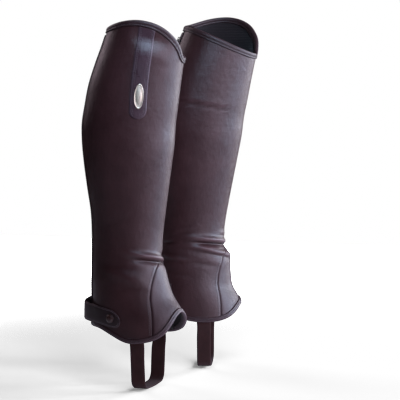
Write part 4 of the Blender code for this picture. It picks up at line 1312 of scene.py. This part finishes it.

# %% [markdown]
# ## Ride, replace and measure
# Each piece moves with the body of the solid that it stands for, which hides that solid.
# The size that leather and cloth were cut to is worked out and printed. The cut is measured on
# the finished piece: half the skin of its closed wall, which has an outside and an inside.

# %% Ride, replace and measure
STANDS_FOR = {
    "leg": "leg_panel", "gusset": "instep_gusset", "top": "top_binding", "hem": "hem_binding",
    "outer facing": "zip_facing_outer", "inner facing": "zip_facing_inner", "tape": "zip_tape",
    "tab": "badge_tab", "badge": "badge", "strap": "ankle_strap", "snap": "snap_cap",
    "stirrup": "stirrup_strap", "slider": "zip_slider", "pull": "zip_pull",
}
SLOTS = {
    "leg": "leather", "gusset": "leather", "tab": "leather", "top": "binding", "hem": "binding",
    "outer facing": "binding", "inner facing": "binding", "tape": "zip_tape", "coil": "zip_tape",
    "badge": "badge_metal", "strap": "strap_leather", "snap": "snap", "stirrup": "webbing",
    "slider": "zip_metal", "pull": "zip_metal", "seam stitches": "leather",
    "tab stitches": "leather", "top stitches": "binding", "hem stitches": "binding",
    "stirrup box": "binding", "outer facing stitches": "binding",
    "inner facing stitches": "binding", "strap stitches": "strap_leather",
    "stirrup stitches": "webbing",
}


def skin_area(piece):
    """Half the area of a closed shell, in square metres."""
    shown = shown_mesh(piece)
    areas = np.zeros(len(shown.polygons))
    shown.polygons.foreach_get("area", areas)
    return float(areas.sum()) / 2


for gaiter in (RIGHT, LEFT):
    name = gaiter["name"]
    for key, slot in SLOTS.items():
        piece = pieces[name, key]
        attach(piece, f"{name}_pull" if key == "pull" else "gaiters")
        if key in STANDS_FOR:
            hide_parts(f"{name}_{STANDS_FOR[key]}")
    around = np.linspace(-176, 176, 89)
    top_run, hem_run = (
        float(running_length(leather(gaiter, around, edge(gaiter, around)))[-1])
        for edge in (top_edge, hem_edge)
    )
    up_back = np.linspace(HEM_OUTER_SIDE[-1, 1] + HEM_BINDING, TOP_BACK - TOP_BINDING, 60)
    zip_run = float(running_length(leather(gaiter, 180.0, up_back))[-1])
    facing_cut, tape_cut = FACING_WIDTH * MM, 2 * TAPE_HALF_WIDTH * MM
    cuts = {
        # piece: flat width, length (None: from the skin), how it is held, what it lies on,
        # what is on it
        "gusset": (0.135, 0.100, "stretched", ["leg"], []),
        "top": (0.018, top_run, "folded", ["leg"], ["top stitches"]),
        "hem": (0.015, hem_run, "folded", ["leg", "gusset"], ["hem stitches", "stirrup box"]),
        "tab": (TAB_WIDTH * MM, None, "laid", ["leg"], ["tab stitches"]),
        "outer facing": (facing_cut, zip_run, "laid", ["leg"], ["outer facing stitches"]),
        "inner facing": (facing_cut, zip_run, "laid", ["leg"], ["inner facing stitches"]),
        "tape": (tape_cut, zip_run, "laid", ["leg"], ["coil"]),
        "strap": (STRAP_WIDTH * MM, None, "stretched", ["leg"], ["strap stitches"]),
        "stirrup": (STIRRUP_WIDTH * MM, None, "stretched", ["hem"], ["stirrup stitches"]),
    }
    for key, (width, length, held, under, on_it) in cuts.items():
        piece = pieces[name, key]
        skin = skin_area(piece)
        length = round(length or skin / width, 3)
        print(f"{piece.name}: cut {width * 1000:.0f} x {length * 1000:.0f} mm,",
              f"skin {skin / width / length:.2f} of it")

print(len(pieces), "pieces")

# %% [markdown]
# ## Floor and light
# The studio is plain: a pale floor and large soft lights, most of them ahead of the pair and to
# the right. A small one hangs close to the near gaiter and lights its upper front in a cone,
# a weak one draws the back edges, and little comes from the left, so that the backs stay
# dark, as they do in the picture.

# %% Floor and light
def paper_finish():
    """Matte white paper: opaque within 0.5 m of the pair, faded out at 1.4 m by its alpha, a
    smooth step of the distance from the middle."""
    material, tree, shader = new_finish("pale studio paper", "#f6f6f7", 0.95)
    where = add(tree, "ShaderNodeTexCoord").outputs["Object"]
    distance = add(tree, "ShaderNodeVectorMath", {"operation": "LENGTH"}, {0: where})
    fade = add(tree, "ShaderNodeMapRange",
               {"interpolation_type": "SMOOTHSTEP", "From Min": 0.5, "From Max": 1.4,
                "To Min": 1.0, "To Max": 0.0}, {"Value": distance.outputs["Value"]})
    tree.links.new(fade.outputs["Result"], shader.inputs["Alpha"])
    return material


FLOOR, FLOOR_HALF = -0.3565, 1.5
corners = [(x * FLOOR_HALF, y * FLOOR_HALF, FLOOR) for x, y in ((-1, -1), (1, -1), (1, 1), (-1, 1))]
floor = add_mesh("floor", corners, [(0, 1, 2, 3)], [paper_finish()])
floor.is_shadow_catcher = True


def softbox(name, azimuth, elevation, power, tint, distance=2.4, size=(1.3, 1.3),
            aim=(0, 0, -0.08), spread=180):
    """An area light that looks at its aim from an azimuth measured as the views are: 0 is in
    front of the near gaiter, 90 is ahead of both. A small spread keeps it to a cone."""
    a, e = math.radians(azimuth), math.radians(elevation)
    back = Vector((math.sin(a) * math.cos(e), -math.cos(a) * math.cos(e), math.sin(e)))
    lamp = bpy.data.objects.new(name, bpy.data.lights.new(name, "AREA"))
    lamp.data.shape = "RECTANGLE"
    lamp.data.size, lamp.data.size_y = size
    lamp.data.energy = power
    lamp.data.color = linear(tint)[:3]
    lamp.data.spread = math.radians(spread)
    lamp.location = back * distance + Vector(aim)
    lamp.rotation_euler = back.to_track_quat("Z", "Y").to_euler()
    bpy.context.scene.collection.objects.link(lamp)


softbox("front light", 60, 8, 27, "#f3e7ff")
softbox("side light", 100, 8, 68, "#d6e4ff")
softbox("back light", 138, 6, 34, "#f2f3ff")
softbox("left light", -60, 42, 1, "#ffd7c4")
softbox("rim light", -120, 25, 9.5, "#ffe8f4")
softbox("high light", 27, 30, 0.5, "#c4e0ff", 0.53, (0.35, 0.25), (0.02, -0.1, 0.11), 60)
world = bpy.data.worlds.new("studio")
bpy.context.scene.world = world
world.use_nodes = True
tree = world.node_tree
tree.nodes.clear()
dim = add(tree, "ShaderNodeBackground", {"Color": (0.8, 0.85, 1.0, 1), "Strength": 0.003})
seen = add(tree, "ShaderNodeBackground", {"Color": (1, 1, 1, 1), "Strength": 1.0})
path = add(tree, "ShaderNodeLightPath")
mix = add(tree, "ShaderNodeMixShader", None,
          {0: path.outputs["Is Camera Ray"], 1: dim.outputs[0], 2: seen.outputs[0]})
add(tree, "ShaderNodeOutputWorld", None, {0: mix.outputs[0]})
bpy.context.scene.view_settings.view_transform = "Standard"
print("floor and lights ready")
